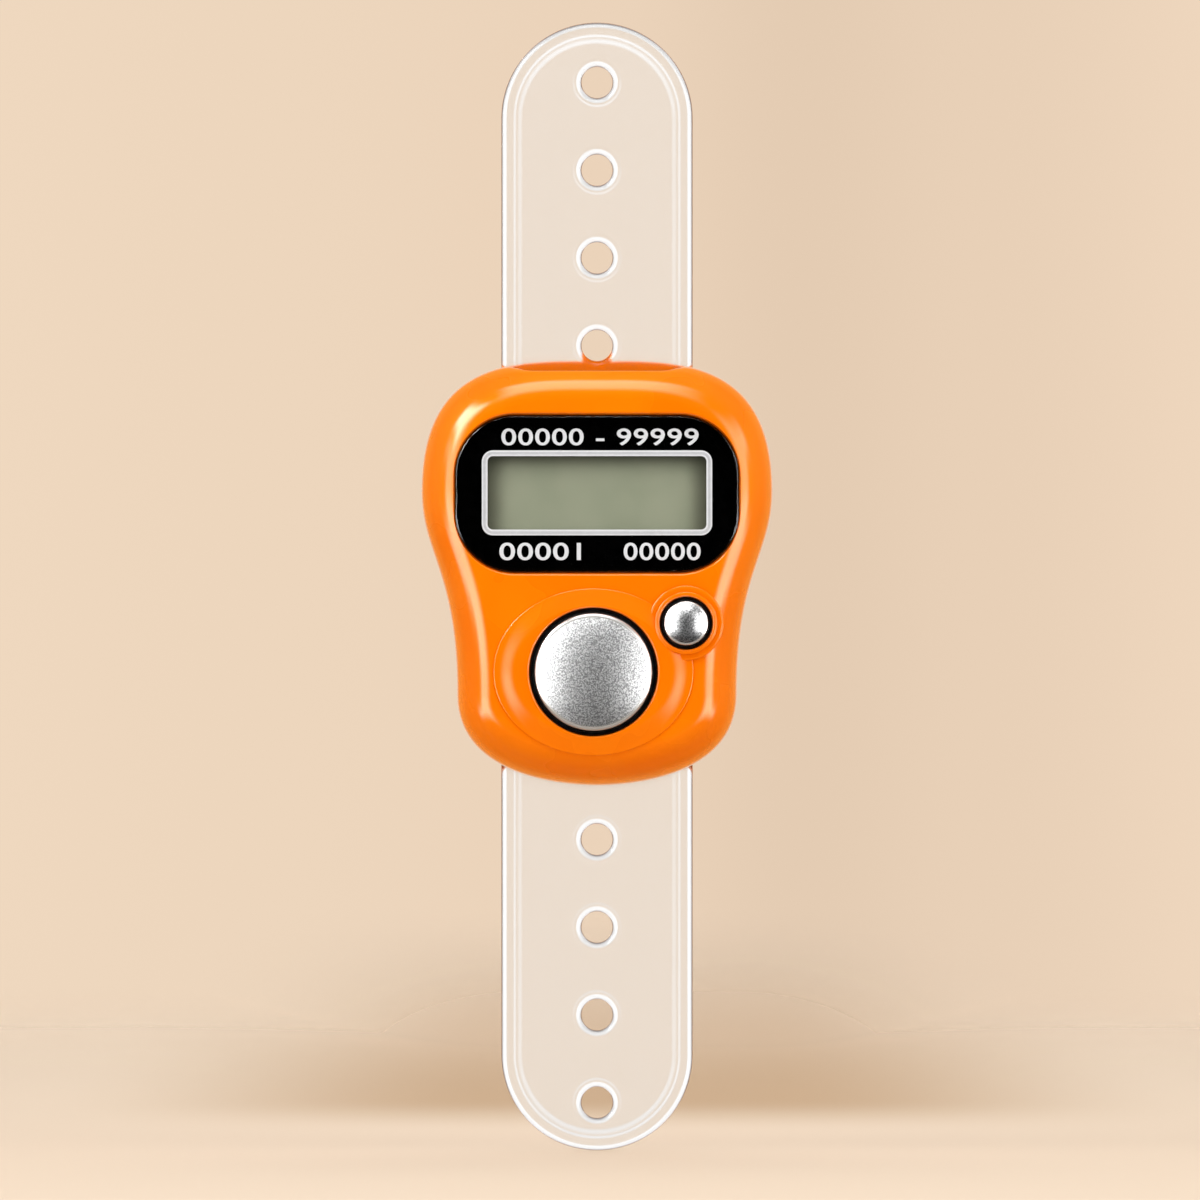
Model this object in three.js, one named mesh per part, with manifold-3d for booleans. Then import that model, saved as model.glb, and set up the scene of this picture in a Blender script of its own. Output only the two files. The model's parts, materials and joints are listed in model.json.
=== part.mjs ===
// A finger tally counter: a two-part case with a display, two sprung buttons and a clear strap.
// Millimetres. Z is up along the strap, X is to the right, and the front faces -Y.
// The origin is the deepest point of the finger seat on the back.
import * as THREE from "three";
import { mergeVertices, toCreasedNormals } from "three/addons/utils/BufferGeometryUtils.js";
import Module from "manifold-3d";

const wasm = await Module();
wasm.setup();

// Case outline, seen from the front: a shoulder, a waist and two flat arches
const bodyHalfHeight = 18.78;
const shoulderHalfWidth = 15.52;
const shoulderZ = 7.26;
const waistHalfWidth = 12.37;
const waistZ = -10.77;
const topLean = 6.56;
const shoulderLeanUp = 12.06;
const shoulderLeanDown = 5.58;
const waistLeanUp = 10.9;
const waistLeanDown = 7.62;
const bottomLean = 2.07;

// Case roundings and walls
const pillowInset = 3.6;
const pillowDepth = 8;
const pillowFullness = 2.2;
const backRounding = 1.4;
const caseWall = 1.6;
const rimWall = 1.1;
const endWall = 2.5;
const seatWall = 1.1;
const footHeight = 1.2;
const seatRadius = 22;
const seatRailHalfLength = 9;

// Strap
const strapWidth = 17;
const strapThickness = 1.6;
const strapTopZ = 48.8;
const strapBottomZ = -51.2;
const strapClearance = 0.15;
const strapEdgeRound = 0.5;
const strapRimWidth = 1.4;
const strapWebRecess = 0.15;
const holeRadius = 1.45;
const holeLipRadius = 1.9;
const holePitch = 7.77;
const holesPerEnd = 5;
const upperHoleMargin = 5.31;
const lowerHoleMargin = 4.26;
const pegRadius = 1.25;
const pivotReach = 1.3;
const knuckleGap = 0.2;

// Shallow relief in the case over the strap, top and bottom
const reliefDepth = 0.98;
const reliefSideClearance = 0.15;
const reliefRamp = 2.85;
const reliefShoulderDrop = 0.38;

// Inner plate, board and button cell
const plateThickness = 0.8;
const plateClearance = 0.15;
const boardThickness = 0.8;
const boardInset = 2.4;
const boardEndClearance = 0.4;
const cellRadius = 5.8;
const cellHeight = 3.05;
const cellZ = 4.5;
const cellCrimpWidth = 0.85;
const cellCapRadius = 4.55;
const cellCapHeight = 1;
const cellCrimpDrop = 0.35;
const cellGasketDrop = 0.2;
const cellGap = 0.05;
const contactThickness = 0.15;
const contactClearance = 0.1;
const contactWidth = 3;

// Display stack
const lensWidth = 25.05;
const lensHeight = 13.9;
const lensCornerRadius = 5.3;
const lensZ = 6.95;
const lensThickness = 0.8;
const lensBevel = 0.25;
const lensSetback = 0.15;
const lensClearance = 0.06;
const maskThickness = 0.1;
const windowWidth = 19.3;
const windowHeight = 6.5;
const windowCornerRadius = 0.5;
const windowZ = 7.04;
const shelfThickness = 1;
const shelfMargin = 0.6;
const gasketMargin = 0.1;
const gasketClearance = 0.05;
const displayClearance = 0.05;
const polariserThickness = 0.2;
const polariserWidth = 20.9;
const polariserHeight = 8.4;
const glassThickness = 0.7;
const glassWidth = 21.4;
const frontGlassHeight = 11.6;
const rearGlassHeight = 8.6;
const glassClearance = 0.15;
const railWidth = 0.8;
const railDepth = 1.4;
const railLength = 6;
const zebraHeight = 2.1;
const zebraThickness = 1;
const zebraLength = 20;
const zebraEdgeMargin = 0.15;

// Fasteners
const screwShankRadius = 0.65;
const screwHeadRadius = 1.2;
const screwHeadHeight = 0.8;
const screwHeadChamfer = 0.35;
const screwPointLength = 0.6;
const screwSlotWidth = 0.3;
const screwSlotDepth = 0.4;
const screwSlotMargin = 0.5;
const screwClearance = 0.1;
const caseScrewLength = 6;
const caseScrewWeb = 1;
const caseBossRadius = 1.7;
const boardScrewLength = 3;
const boardBossRadius = 1.35;
const bossClearance = 0.3;
const counterboreRadius = 1.4;
const pilotExtra = 0.3;

// Case screws, measured in from the case's outline
const upperCaseScrewInset = 4.92;
const upperCaseScrewMargin = 3.88;
const lowerCaseScrewInset = 1.97;
const lowerCaseScrewMargin = 6.58;

// Board screws, one below the display and two round the count button
const upperBoardScrewX = -9.4;
const upperBoardScrewDrop = 2.8;
const lowerBoardScrewSpread = 6.55;
const lowerBoardScrewDrop = 3.9;

// The two buttons share one make in two sizes
const countButton = {
  x: -0.31,
  z: -8.72,
  capRadius: 5.15,
  crownHeight: 1,
  standHeight: 0.6,
  edgeRound: 0.3,
  flangeRadius: 5.95,
  ringWidth: 0.37,
  bossHeight: 0.7,
  stemRadius: 2.5,
  capWall: 0.9,
  domeTopRadius: 2.6,
  domeSkirtRadius: 4.2,
  domeBaseRadius: 5,
  pillRadius: 1.5,
  travel: 0.65,
  steps: 40,
};
const resetButton = {
  x: 7.84,
  z: -4.43,
  capRadius: 1.92,
  crownHeight: 0.6,
  standHeight: 0.5,
  edgeRound: 0.2,
  flangeRadius: 2.35,
  ringWidth: 0.28,
  bossHeight: 0.75,
  stemRadius: 1,
  capWall: 0.6,
  domeTopRadius: 1.1,
  domeSkirtRadius: 2,
  domeBaseRadius: 2.6,
  pillRadius: 0.8,
  travel: 0.5,
  steps: 24,
};
const buttonSideGap = 0.08;
const ringGap = 0.05;
const ringSetback = 0.25;
const flangeThickness = 0.6;
const flangeGap = 0.05;
const wellClearance = 0.2;
const domeWall = 0.5;
const domeTopThickness = 0.6;
const pillThickness = 0.4;
const pillRestGap = 0.05;

// Raised bosses round the buttons: half axes of the foot, the shoulder and the top
const countBossHalfWidth = 8.8;
const countBossHalfHeight = 7.35;
const countBossShoulder = 0.5;
const countBossShoulderDrop = 0.25;
const countBossTopMargin = 0.55;
const resetBossRadius = 3.3;
const resetBossStep = 0.55;
const resetBossStepHeight = 0.35;
const bossEdge = 0.12;

// Small parts on the board
const chipRadius = 3;
const chipHeight = 1.3;
const chipX = -4.6;
const chipZ = -7.2;
const capacitorSize = new THREE.Vector3(2, 1.2, 1.25);
const capacitorX = 3.8;
const capacitorZ = -5.4;
const resistorSize = new THREE.Vector3(2, 0.6, 1.25);
const resistorX = 3.8;
const resistorZ = -9.2;

// How finely round shapes are divided
const curveSteps = 12;
const pillowSteps = 6;
const roundSteps = 3;
const crownSteps = 4;
const wideCircleSteps = 40;
const smallCircleSteps = 16;
const fastenerSteps = 10;
const cornerSteps = 5;
const endSteps = 16;
const strapEdgeSteps = 5;
const seatSteps = 180;
const samePoint = 1e-6;
const overshoot = 1;

// Depths, worked out from the finger seat forwards
const partingY = -seatWall;
const tunnelFrontY = partingY - strapThickness - 2 * strapClearance;
const strapY = (partingY + tunnelFrontY) / 2;
const plateFrontY = tunnelFrontY - plateThickness;
const boardRearY = plateFrontY - cellHeight - 2 * (contactThickness + contactClearance);
const boardFrontY = boardRearY - boardThickness;
const glassLedgeY = boardFrontY - zebraHeight;
const glassFrontY = glassLedgeY - glassThickness;
const displayFrontY = glassFrontY - polariserThickness;
const shelfRearY = displayFrontY - displayClearance;
const shelfFrontY = shelfRearY - shelfThickness;
const lensRearY = shelfFrontY - maskThickness;
const lensFrontY = lensRearY - lensThickness;
const faceY = lensFrontY - lensSetback;
const footY = footHeight;

// Other places that follow from the driving dimensions
const tunnelHalfWidth = strapWidth / 2 + strapClearance;
const cavityHalfLength = bodyHalfHeight - endWall;
const pivotZ = bodyHalfHeight + pivotReach;
const strapStubZ = pivotZ - strapThickness / 2 - knuckleGap;
const upperCaseScrewX = shoulderHalfWidth - upperCaseScrewInset;
const upperCaseScrewZ = bodyHalfHeight - upperCaseScrewMargin;
const lowerCaseScrewX = waistHalfWidth - lowerCaseScrewInset;
const lowerCaseScrewZ = lowerCaseScrewMargin - bodyHalfHeight;
const caseScrewPlaces = [
  { name: "case_screw_upper_left", x: -upperCaseScrewX, z: upperCaseScrewZ },
  { name: "case_screw_upper_right", x: upperCaseScrewX, z: upperCaseScrewZ },
  { name: "case_screw_lower_left", x: -lowerCaseScrewX, z: lowerCaseScrewZ },
  { name: "case_screw_lower_right", x: lowerCaseScrewX, z: lowerCaseScrewZ },
];
const upperBoardScrewZ = windowZ - frontGlassHeight / 2 - upperBoardScrewDrop;
const lowerBoardScrewZ = countButton.z - lowerBoardScrewDrop;
const boardScrewPlaces = [
  { name: "board_screw_upper", x: upperBoardScrewX, z: upperBoardScrewZ },
  { name: "board_screw_lower_left", x: countButton.x - lowerBoardScrewSpread, z: lowerBoardScrewZ },
  { name: "board_screw_lower_right", x: countButton.x + lowerBoardScrewSpread, z: lowerBoardScrewZ },
];
const holeSteps = Array.from({ length: holesPerEnd }, (_, i) => i * holePitch);
const upperHoleZs = holeSteps.map((step) => strapTopZ - upperHoleMargin - step);
const lowerHoleZs = holeSteps.map((step) => strapBottomZ + lowerHoleMargin + step);
const cellFrontY = boardRearY + contactThickness + contactClearance;
const shelfWidth = windowWidth + 2 * shelfMargin;
const shelfHeight = windowHeight + 2 * shelfMargin;
const flangeFrontY = shelfRearY + flangeGap;
const flangeRearY = flangeFrontY + flangeThickness;

// Solids: closed triangle meshes that can be cut and joined

function closedGeometry(geometry) {
  geometry.deleteAttribute("normal");
  geometry.deleteAttribute("uv");
  const merged = mergeVertices(geometry);
  const corner = [new THREE.Vector3(), new THREE.Vector3(), new THREE.Vector3()];
  const faces = [];
  let volume = 0;
  for (let i = 0; i < merged.index.count; i += 3) {
    const face = [0, 1, 2].map((k) => merged.index.getX(i + k));
    const collapsed = face[0] === face[1] || face[1] === face[2] || face[2] === face[0];
    if (collapsed) continue;
    face.forEach((vertex, k) => corner[k].fromBufferAttribute(merged.attributes.position, vertex));
    volume += corner[0].dot(corner[1].clone().cross(corner[2])) / 6;
    faces.push(face);
  }
  merged.setIndex(faces.flatMap((face) => (volume < 0 ? face.reverse() : face)));
  return merged;
}

function solid(geometry) {
  const closed = closedGeometry(geometry);
  const vertProperties = new Float32Array(closed.attributes.position.array);
  const triVerts = new Uint32Array(closed.index.array);
  return new wasm.Manifold(new wasm.Mesh({ numProp: 3, vertProperties, triVerts }));
}

function geometryOf(shape) {
  const mesh = shape.getMesh();
  const geometry = new THREE.BufferGeometry();
  geometry.setAttribute("position", new THREE.BufferAttribute(mesh.vertProperties, 3));
  geometry.setIndex(new THREE.BufferAttribute(mesh.triVerts, 1));
  return geometry;
}

// A skin over a stack of rings that lie across Y, closed by a fan at each end
function loft(rings) {
  const count = rings[0].points.length;
  const positions = [];
  const index = [];
  for (const ring of rings) {
    for (const point of ring.points) positions.push(point.x, ring.y, point.y);
  }
  for (let r = 0; r + 1 < rings.length; r += 1) {
    for (let i = 0; i < count; i += 1) {
      const a = r * count + i;
      const b = r * count + ((i + 1) % count);
      index.push(a, b, b + count, a, b + count, a + count);
    }
  }
  [0, rings.length - 1].forEach((r, end) => {
    const centre = rings[r].points
      .reduce((sum, point) => sum.add(point), new THREE.Vector2())
      .divideScalar(count);
    const apex = positions.length / 3;
    positions.push(centre.x, rings[r].y, centre.y);
    for (let i = 0; i < count; i += 1) {
      const a = r * count + i;
      const b = r * count + ((i + 1) % count);
      index.push(...(end === 0 ? [b, a, apex] : [a, b, apex]));
    }
  });
  const geometry = new THREE.BufferGeometry();
  geometry.setAttribute("position", new THREE.Float32BufferAttribute(positions, 3));
  geometry.setIndex(index);
  return geometry;
}

// A profile of [radius, y] pairs turned about the Y axis
function turned(profile, steps) {
  return new THREE.LatheGeometry(
    profile.map(([radius, y]) => new THREE.Vector2(radius, y)),
    steps,
  );
}

// A round bar along Y
function bar(radius, startY, endY, x, z, steps) {
  const profile = [[0, startY], [radius, startY], [radius, endY], [0, endY]];
  return solid(turned(profile, steps).translate(x, 0, z));
}

function box(lowX, highX, lowY, highY, lowZ, highZ) {
  const geometry = new THREE.BoxGeometry(highX - lowX, highY - lowY, highZ - lowZ);
  return geometry.translate((lowX + highX) / 2, (lowY + highY) / 2, (lowZ + highZ) / 2);
}

// A flat outline in X and Z, made solid from one depth to another
function prism(shape, frontY, rearY) {
  const geometry = new THREE.ExtrudeGeometry(shape, {
    depth: rearY - frontY,
    bevelEnabled: false,
    curveSegments: cornerSteps,
  });
  return geometry.rotateX(Math.PI / 2).translate(0, rearY, 0);
}

// Outlines

// The case's outline, drawn in by an inset
function caseOutline(inset) {
  const top = bodyHalfHeight - inset;
  const shoulder = shoulderHalfWidth - inset;
  const waist = waistHalfWidth - inset;
  const upperX = shoulder / shoulderHalfWidth;
  const upperZ = (top - shoulderZ) / (bodyHalfHeight - shoulderZ);
  const lowerX = waist / waistHalfWidth;
  const lowerZ = (top + waistZ) / (bodyHalfHeight + waistZ);
  const at = (x, z) => new THREE.Vector2(x, z);
  const curves = [
    new THREE.CubicBezierCurve(
      at(0, top),
      at(topLean * upperX, top),
      at(shoulder, shoulderZ + shoulderLeanUp * upperZ),
      at(shoulder, shoulderZ),
    ),
    new THREE.CubicBezierCurve(
      at(shoulder, shoulderZ),
      at(shoulder, shoulderZ - shoulderLeanDown),
      at(waist, waistZ + waistLeanUp),
      at(waist, waistZ),
    ),
    new THREE.CubicBezierCurve(
      at(waist, waistZ),
      at(waist, waistZ - waistLeanDown * lowerZ),
      at(bottomLean * lowerX, -top),
      at(0, -top),
    ),
  ];
  const right = curves.flatMap((curve) => curve.getPoints(curveSteps).slice(0, curveSteps));
  right.push(at(0, -top));
  const left = right.slice(1, -1).reverse();
  return right.concat(left.map((point) => at(-point.x, point.y)));
}

function ellipseOutline(halfWidth, halfHeight, x, z) {
  return Array.from({ length: wideCircleSteps }, (_, i) => {
    const angle = (i / wideCircleSteps) * 2 * Math.PI;
    return new THREE.Vector2(x + halfWidth * Math.sin(angle), z + halfHeight * Math.cos(angle));
  });
}

function roundedRectangle(width, height, radius, z) {
  const right = width / 2;
  const top = height / 2;
  const shape = new THREE.Shape();
  shape.moveTo(right, z - top + radius);
  shape.lineTo(right, z + top - radius);
  shape.absarc(right - radius, z + top - radius, radius, 0, Math.PI / 2);
  shape.lineTo(-right + radius, z + top);
  shape.absarc(-right + radius, z + top - radius, radius, Math.PI / 2, Math.PI);
  shape.lineTo(-right, z - top + radius);
  shape.absarc(-right + radius, z - top + radius, radius, Math.PI, 1.5 * Math.PI);
  shape.lineTo(right - radius, z - top);
  shape.absarc(right - radius, z - top + radius, radius, 1.5 * Math.PI, 2 * Math.PI);
  return shape;
}

function outlineOf(shape) {
  const points = shape.getPoints(cornerSteps);
  return points.filter((point, i) => {
    const next = points[(i + 1) % points.length];
    return point.distanceTo(next) > samePoint;
  });
}

// The strap's outline: straight sides and half-round ends
function strapOutline(inset) {
  const radius = strapWidth / 2 - inset;
  const topCentre = strapTopZ - strapWidth / 2;
  const bottomCentre = strapBottomZ + strapWidth / 2;
  const points = [];
  for (let i = 0; i <= endSteps; i += 1) {
    const angle = (i / endSteps) * Math.PI;
    points.push(new THREE.Vector2(radius * Math.cos(angle), topCentre + radius * Math.sin(angle)));
  }
  for (let i = 0; i <= endSteps; i += 1) {
    const angle = Math.PI + (i / endSteps) * Math.PI;
    points.push(new THREE.Vector2(radius * Math.cos(angle), bottomCentre + radius * Math.sin(angle)));
  }
  return points;
}

// Case

// How far the case's surface lies inside its outline, at a depth behind the face
function pillowInsetAt(depth) {
  const height = Math.max(0, 1 - depth / pillowDepth);
  const across = (1 - height ** pillowFullness) ** (1 / pillowFullness);
  return pillowInset * (1 - across);
}

function pillowRings() {
  const rings = [{ points: caseOutline(0), y: partingY }];
  for (let i = 0; i <= pillowSteps; i += 1) {
    const angle = ((i / pillowSteps) * Math.PI) / 2;
    const across = Math.cos(angle) ** (2 / pillowFullness);
    const up = Math.sin(angle) ** (2 / pillowFullness);
    rings.push({
      points: caseOutline(pillowInset * (1 - across)),
      y: faceY + pillowDepth * (1 - up),
    });
  }
  return rings;
}

function betweenEndWalls(shape) {
  const side = shoulderHalfWidth + overshoot;
  const length = cavityHalfLength;
  return shape.intersect(solid(box(-side, side, faceY, partingY + overshoot, -length, length)));
}

function electronicsCavity() {
  const depths = [shelfRearY - faceY, (shelfRearY - faceY + pillowDepth) / 2, pillowDepth];
  const rings = depths.map((depth) => ({
    points: caseOutline(pillowInsetAt(depth) + caseWall),
    y: faceY + depth,
  }));
  rings.push({ points: caseOutline(caseWall), y: plateFrontY + plateThickness / 2 });
  return betweenEndWalls(solid(loft(rings)));
}

function plateSeat() {
  const rings = [
    { points: caseOutline(rimWall), y: plateFrontY },
    { points: caseOutline(rimWall), y: partingY + overshoot },
  ];
  return betweenEndWalls(solid(loft(rings)));
}

function countBoss() {
  const { x, z, capRadius, ringWidth, bossHeight } = countButton;
  const topRadius = capRadius + buttonSideGap + ringWidth + ringGap + countBossTopMargin;
  const ring = (narrower, y) => ({
    points: ellipseOutline(countBossHalfWidth - narrower, countBossHalfHeight - narrower, x, z),
    y,
  });
  return solid(
    loft([
      ring(0, faceY + pillowDepth / 2),
      ring(0, faceY - bossEdge),
      ring(bossEdge, faceY - 2 * bossEdge),
      ring(countBossShoulder, faceY - bossHeight + countBossShoulderDrop),
      { points: ellipseOutline(topRadius, topRadius, x, z), y: faceY - bossHeight },
    ]),
  );
}

function resetBoss() {
  const { x, z, bossHeight } = resetButton;
  const innerRadius = resetBossRadius - resetBossStep;
  const ring = (radius, height) => ({
    points: ellipseOutline(radius, radius, x, z),
    y: faceY - height,
  });
  return solid(
    loft([
      ring(resetBossRadius, -pillowDepth / 2),
      ring(resetBossRadius, resetBossStepHeight - bossEdge),
      ring(resetBossRadius - bossEdge, resetBossStepHeight),
      ring(innerRadius, resetBossStepHeight),
      ring(innerRadius, bossHeight - bossEdge),
      ring(innerRadius - bossEdge, bossHeight),
    ]),
  );
}

// The edge of the case dips over the strap, with a soft ramp at each side
function strapRelief(up) {
  const half = strapWidth / 2 + reliefSideClearance;
  const floor = bodyHalfHeight - reliefDepth;
  const shoulder = bodyHalfHeight - reliefShoulderDrop;
  const outside = bodyHalfHeight + overshoot;
  const flat = half - reliefRamp;
  const shape = new THREE.Shape();
  shape.moveTo(-half, up * outside);
  shape.lineTo(-half, up * shoulder);
  shape.bezierCurveTo(
    -half + reliefRamp / 2, up * (shoulder + floor) / 2,
    -flat - reliefRamp / 2, up * floor,
    -flat, up * floor,
  );
  shape.lineTo(flat, up * floor);
  shape.bezierCurveTo(
    flat + reliefRamp / 2, up * floor,
    half - reliefRamp / 2, up * (shoulder + floor) / 2,
    half, up * shoulder,
  );
  shape.lineTo(half, up * outside);
  return solid(prism(shape, faceY - overshoot, partingY + overshoot));
}

function buttonOpening(button) {
  const { x, z, capRadius, ringWidth, flangeRadius, steps } = button;
  const holeEdge = capRadius + buttonSideGap + ringWidth + ringGap;
  const hole = bar(holeEdge, faceY - 2 * overshoot, boardFrontY, x, z, steps);
  const well = bar(flangeRadius + wellClearance, shelfRearY, boardFrontY, x, z, steps);
  return hole.add(well);
}

function frontShell() {
  const outer = solid(loft(pillowRings())).add(countBoss()).add(resetBoss());
  let shell = outer.subtract(electronicsCavity()).subtract(plateSeat());

  const rails = box(
    -glassWidth / 2 - glassClearance - railWidth,
    glassWidth / 2 + glassClearance + railWidth,
    shelfRearY - displayClearance,
    shelfRearY + railDepth,
    windowZ - railLength / 2,
    windowZ + railLength / 2,
  );
  let additions = solid(rails);
  for (const { x, z } of caseScrewPlaces) {
    additions = additions.add(bar(caseBossRadius, shelfFrontY, partingY, x, z, fastenerSteps));
  }
  for (const { x, z } of boardScrewPlaces) {
    additions = additions.add(bar(boardBossRadius, shelfFrontY, boardFrontY, x, z, fastenerSteps));
  }
  shell = shell.add(additions.intersect(outer));

  const recess = roundedRectangle(
    lensWidth + 2 * lensClearance,
    lensHeight + 2 * lensClearance,
    lensCornerRadius + lensClearance,
    lensZ,
  );
  const opening = roundedRectangle(shelfWidth, shelfHeight, windowCornerRadius + shelfMargin, windowZ);
  const halfGlass = frontGlassHeight / 2 + glassClearance;
  const halfGlassWidth = glassWidth / 2 + glassClearance;
  const cutters = [
    solid(prism(recess, faceY - overshoot, shelfFrontY)),
    solid(prism(opening, shelfFrontY - overshoot, shelfRearY + overshoot)),
    solid(box(
      -halfGlassWidth, halfGlassWidth, shelfRearY, boardFrontY, windowZ - halfGlass, windowZ + halfGlass,
    )),
    solid(box(
      -tunnelHalfWidth, tunnelHalfWidth, tunnelFrontY, partingY + overshoot,
      -bodyHalfHeight - overshoot, bodyHalfHeight + overshoot,
    )),
    buttonOpening(countButton),
    buttonOpening(resetButton),
    strapRelief(1),
    strapRelief(-1),
  ];
  const pilotRadius = screwShankRadius + screwClearance;
  const casePilotEnd = partingY + caseScrewWeb - caseScrewLength - pilotExtra;
  for (const { x, z } of caseScrewPlaces) {
    cutters.push(bar(pilotRadius, casePilotEnd, partingY + overshoot, x, z, fastenerSteps));
  }
  const boardPilotEnd = boardRearY - boardScrewLength - pilotExtra;
  for (const { x, z } of boardScrewPlaces) {
    cutters.push(bar(pilotRadius, boardPilotEnd, boardFrontY + overshoot, x, z, fastenerSteps));
  }
  for (const cutter of cutters) shell = shell.subtract(cutter);
  return geometryOf(shell);
}

function backShell() {
  const rings = [{ points: caseOutline(0), y: partingY }];
  for (let i = 0; i <= roundSteps; i += 1) {
    const angle = ((i / roundSteps) * Math.PI) / 2;
    rings.push({
      points: caseOutline(backRounding * (1 - Math.cos(angle))),
      y: footY - backRounding * (1 - Math.sin(angle)),
    });
  }
  let shell = solid(loft(rings));

  // The finger seat is a round trough across the back
  const trough = new THREE.CylinderGeometry(
    seatRadius, seatRadius, 2 * (shoulderHalfWidth + overshoot), seatSteps,
  );
  shell = shell.subtract(solid(trough.rotateZ(Math.PI / 2).translate(0, seatRadius, 0)));

  // Side rails press on the inner plate, and pegs hold the strap by one hidden hole at each end
  for (const side of [-1, 1]) {
    const edges = [side * tunnelHalfWidth, side * (tunnelHalfWidth + rimWall)];
    shell = shell.add(solid(box(
      Math.min(...edges), Math.max(...edges), tunnelFrontY, partingY + seatWall / 2,
      -seatRailHalfLength, seatRailHalfLength,
    )));
  }
  for (const z of [upperHoleZs.at(-1), lowerHoleZs.at(-1)]) {
    shell = shell.add(bar(
      pegRadius, tunnelFrontY + strapClearance, partingY + seatWall / 2, 0, z, smallCircleSteps,
    ));
  }

  const headSeatY = partingY + caseScrewWeb;
  for (const { x, z } of caseScrewPlaces) {
    const hole = bar(
      screwShankRadius + screwClearance, partingY - overshoot, footY + overshoot, x, z, fastenerSteps,
    );
    const counterbore = bar(counterboreRadius, headSeatY, footY + overshoot, x, z, smallCircleSteps);
    shell = shell.subtract(hole).subtract(counterbore);
  }
  return geometryOf(shell);
}

function innerPlate() {
  const inset = rimWall + plateClearance;
  const rings = [
    { points: caseOutline(inset), y: plateFrontY },
    { points: caseOutline(inset), y: tunnelFrontY },
  ];
  const side = shoulderHalfWidth;
  const length = cavityHalfLength - plateClearance;
  let plate = solid(loft(rings)).intersect(
    solid(box(-side, side, plateFrontY - overshoot, partingY, -length, length)),
  );
  for (const { x, z } of caseScrewPlaces) {
    plate = plate.subtract(bar(
      caseBossRadius + bossClearance, plateFrontY - overshoot, partingY, x, z, fastenerSteps,
    ));
  }
  return geometryOf(plate);
}

// Display, from the lens backwards

function displayLens() {
  const outline = (inset) => outlineOf(roundedRectangle(
    lensWidth - 2 * inset, lensHeight - 2 * inset, lensCornerRadius - inset, lensZ,
  ));
  return closedGeometry(loft([
    { points: outline(lensBevel), y: lensFrontY },
    { points: outline(0), y: lensFrontY + lensBevel },
    { points: outline(0), y: lensRearY },
  ]));
}

function displayMask() {
  const shape = roundedRectangle(lensWidth, lensHeight, lensCornerRadius, lensZ);
  shape.holes.push(roundedRectangle(windowWidth, windowHeight, windowCornerRadius, windowZ));
  return prism(shape, lensRearY, shelfFrontY);
}

function dustGasket() {
  const shape = roundedRectangle(
    shelfWidth - 2 * gasketClearance,
    shelfHeight - 2 * gasketClearance,
    windowCornerRadius + shelfMargin - gasketClearance,
    windowZ,
  );
  shape.holes.push(roundedRectangle(
    windowWidth + 2 * gasketMargin,
    windowHeight + 2 * gasketMargin,
    windowCornerRadius + gasketMargin,
    windowZ,
  ));
  return prism(shape, shelfFrontY, shelfRearY);
}

function plateGlass(width, height, frontY, thickness) {
  return box(
    -width / 2, width / 2, frontY, frontY + thickness, windowZ - height / 2, windowZ + height / 2,
  );
}

function zebraStrip(up) {
  const z = windowZ + up * (frontGlassHeight / 2 - zebraEdgeMargin - zebraThickness / 2);
  return box(
    -zebraLength / 2, zebraLength / 2, glassLedgeY, boardFrontY,
    z - zebraThickness / 2, z + zebraThickness / 2,
  );
}

// Board and what it carries

function circuitBoard() {
  const rings = [
    { points: caseOutline(boardInset), y: boardFrontY },
    { points: caseOutline(boardInset), y: boardRearY },
  ];
  const side = shoulderHalfWidth;
  const length = cavityHalfLength - boardEndClearance;
  let board = solid(loft(rings)).intersect(
    solid(box(-side, side, boardFrontY - overshoot, boardRearY + overshoot, -length, length)),
  );
  for (const { x, z } of caseScrewPlaces) {
    board = board.subtract(bar(
      caseBossRadius + bossClearance, boardFrontY - overshoot, boardRearY + overshoot, x, z,
      fastenerSteps,
    ));
  }
  for (const { x, z } of boardScrewPlaces) {
    board = board.subtract(bar(
      screwShankRadius + screwClearance, boardFrontY - overshoot, boardRearY + overshoot, x, z,
      fastenerSteps,
    ));
  }
  return geometryOf(board);
}

function chipResinCap() {
  const profile = [[0, boardRearY], [chipRadius, boardRearY]];
  for (let i = 1; i <= roundSteps; i += 1) {
    const angle = ((i / roundSteps) * Math.PI) / 2;
    profile.push([chipRadius * Math.cos(angle), boardRearY + chipHeight * Math.sin(angle)]);
  }
  profile.at(-1)[0] = 0;
  return closedGeometry(turned(profile, smallCircleSteps));
}

function boardComponent(size) {
  return box(-size.x / 2, size.x / 2, boardRearY, boardRearY + size.y, -size.z / 2, size.z / 2);
}

// Button cell, with its negative cap towards the board

function cellCan() {
  const recessRadius = cellRadius - cellCrimpWidth;
  return closedGeometry(turned([
    [0, cellFrontY + cellCapHeight],
    [recessRadius, cellFrontY + cellCapHeight],
    [recessRadius, cellFrontY + cellCrimpDrop],
    [cellRadius - cellCrimpDrop, cellFrontY + cellCrimpDrop],
    [cellRadius, cellFrontY + 2 * cellCrimpDrop],
    [cellRadius, cellFrontY + cellHeight],
    [0, cellFrontY + cellHeight],
  ], wideCircleSteps));
}

function cellGasket() {
  const outer = cellRadius - cellCrimpWidth - cellGap;
  const inner = cellCapRadius + cellGap;
  const frontY = cellFrontY + cellGasketDrop;
  const rearY = cellFrontY + cellCapHeight;
  return closedGeometry(turned(
    [[inner, frontY], [outer, frontY], [outer, rearY], [inner, rearY], [inner, frontY]],
    wideCircleSteps,
  ));
}

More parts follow.
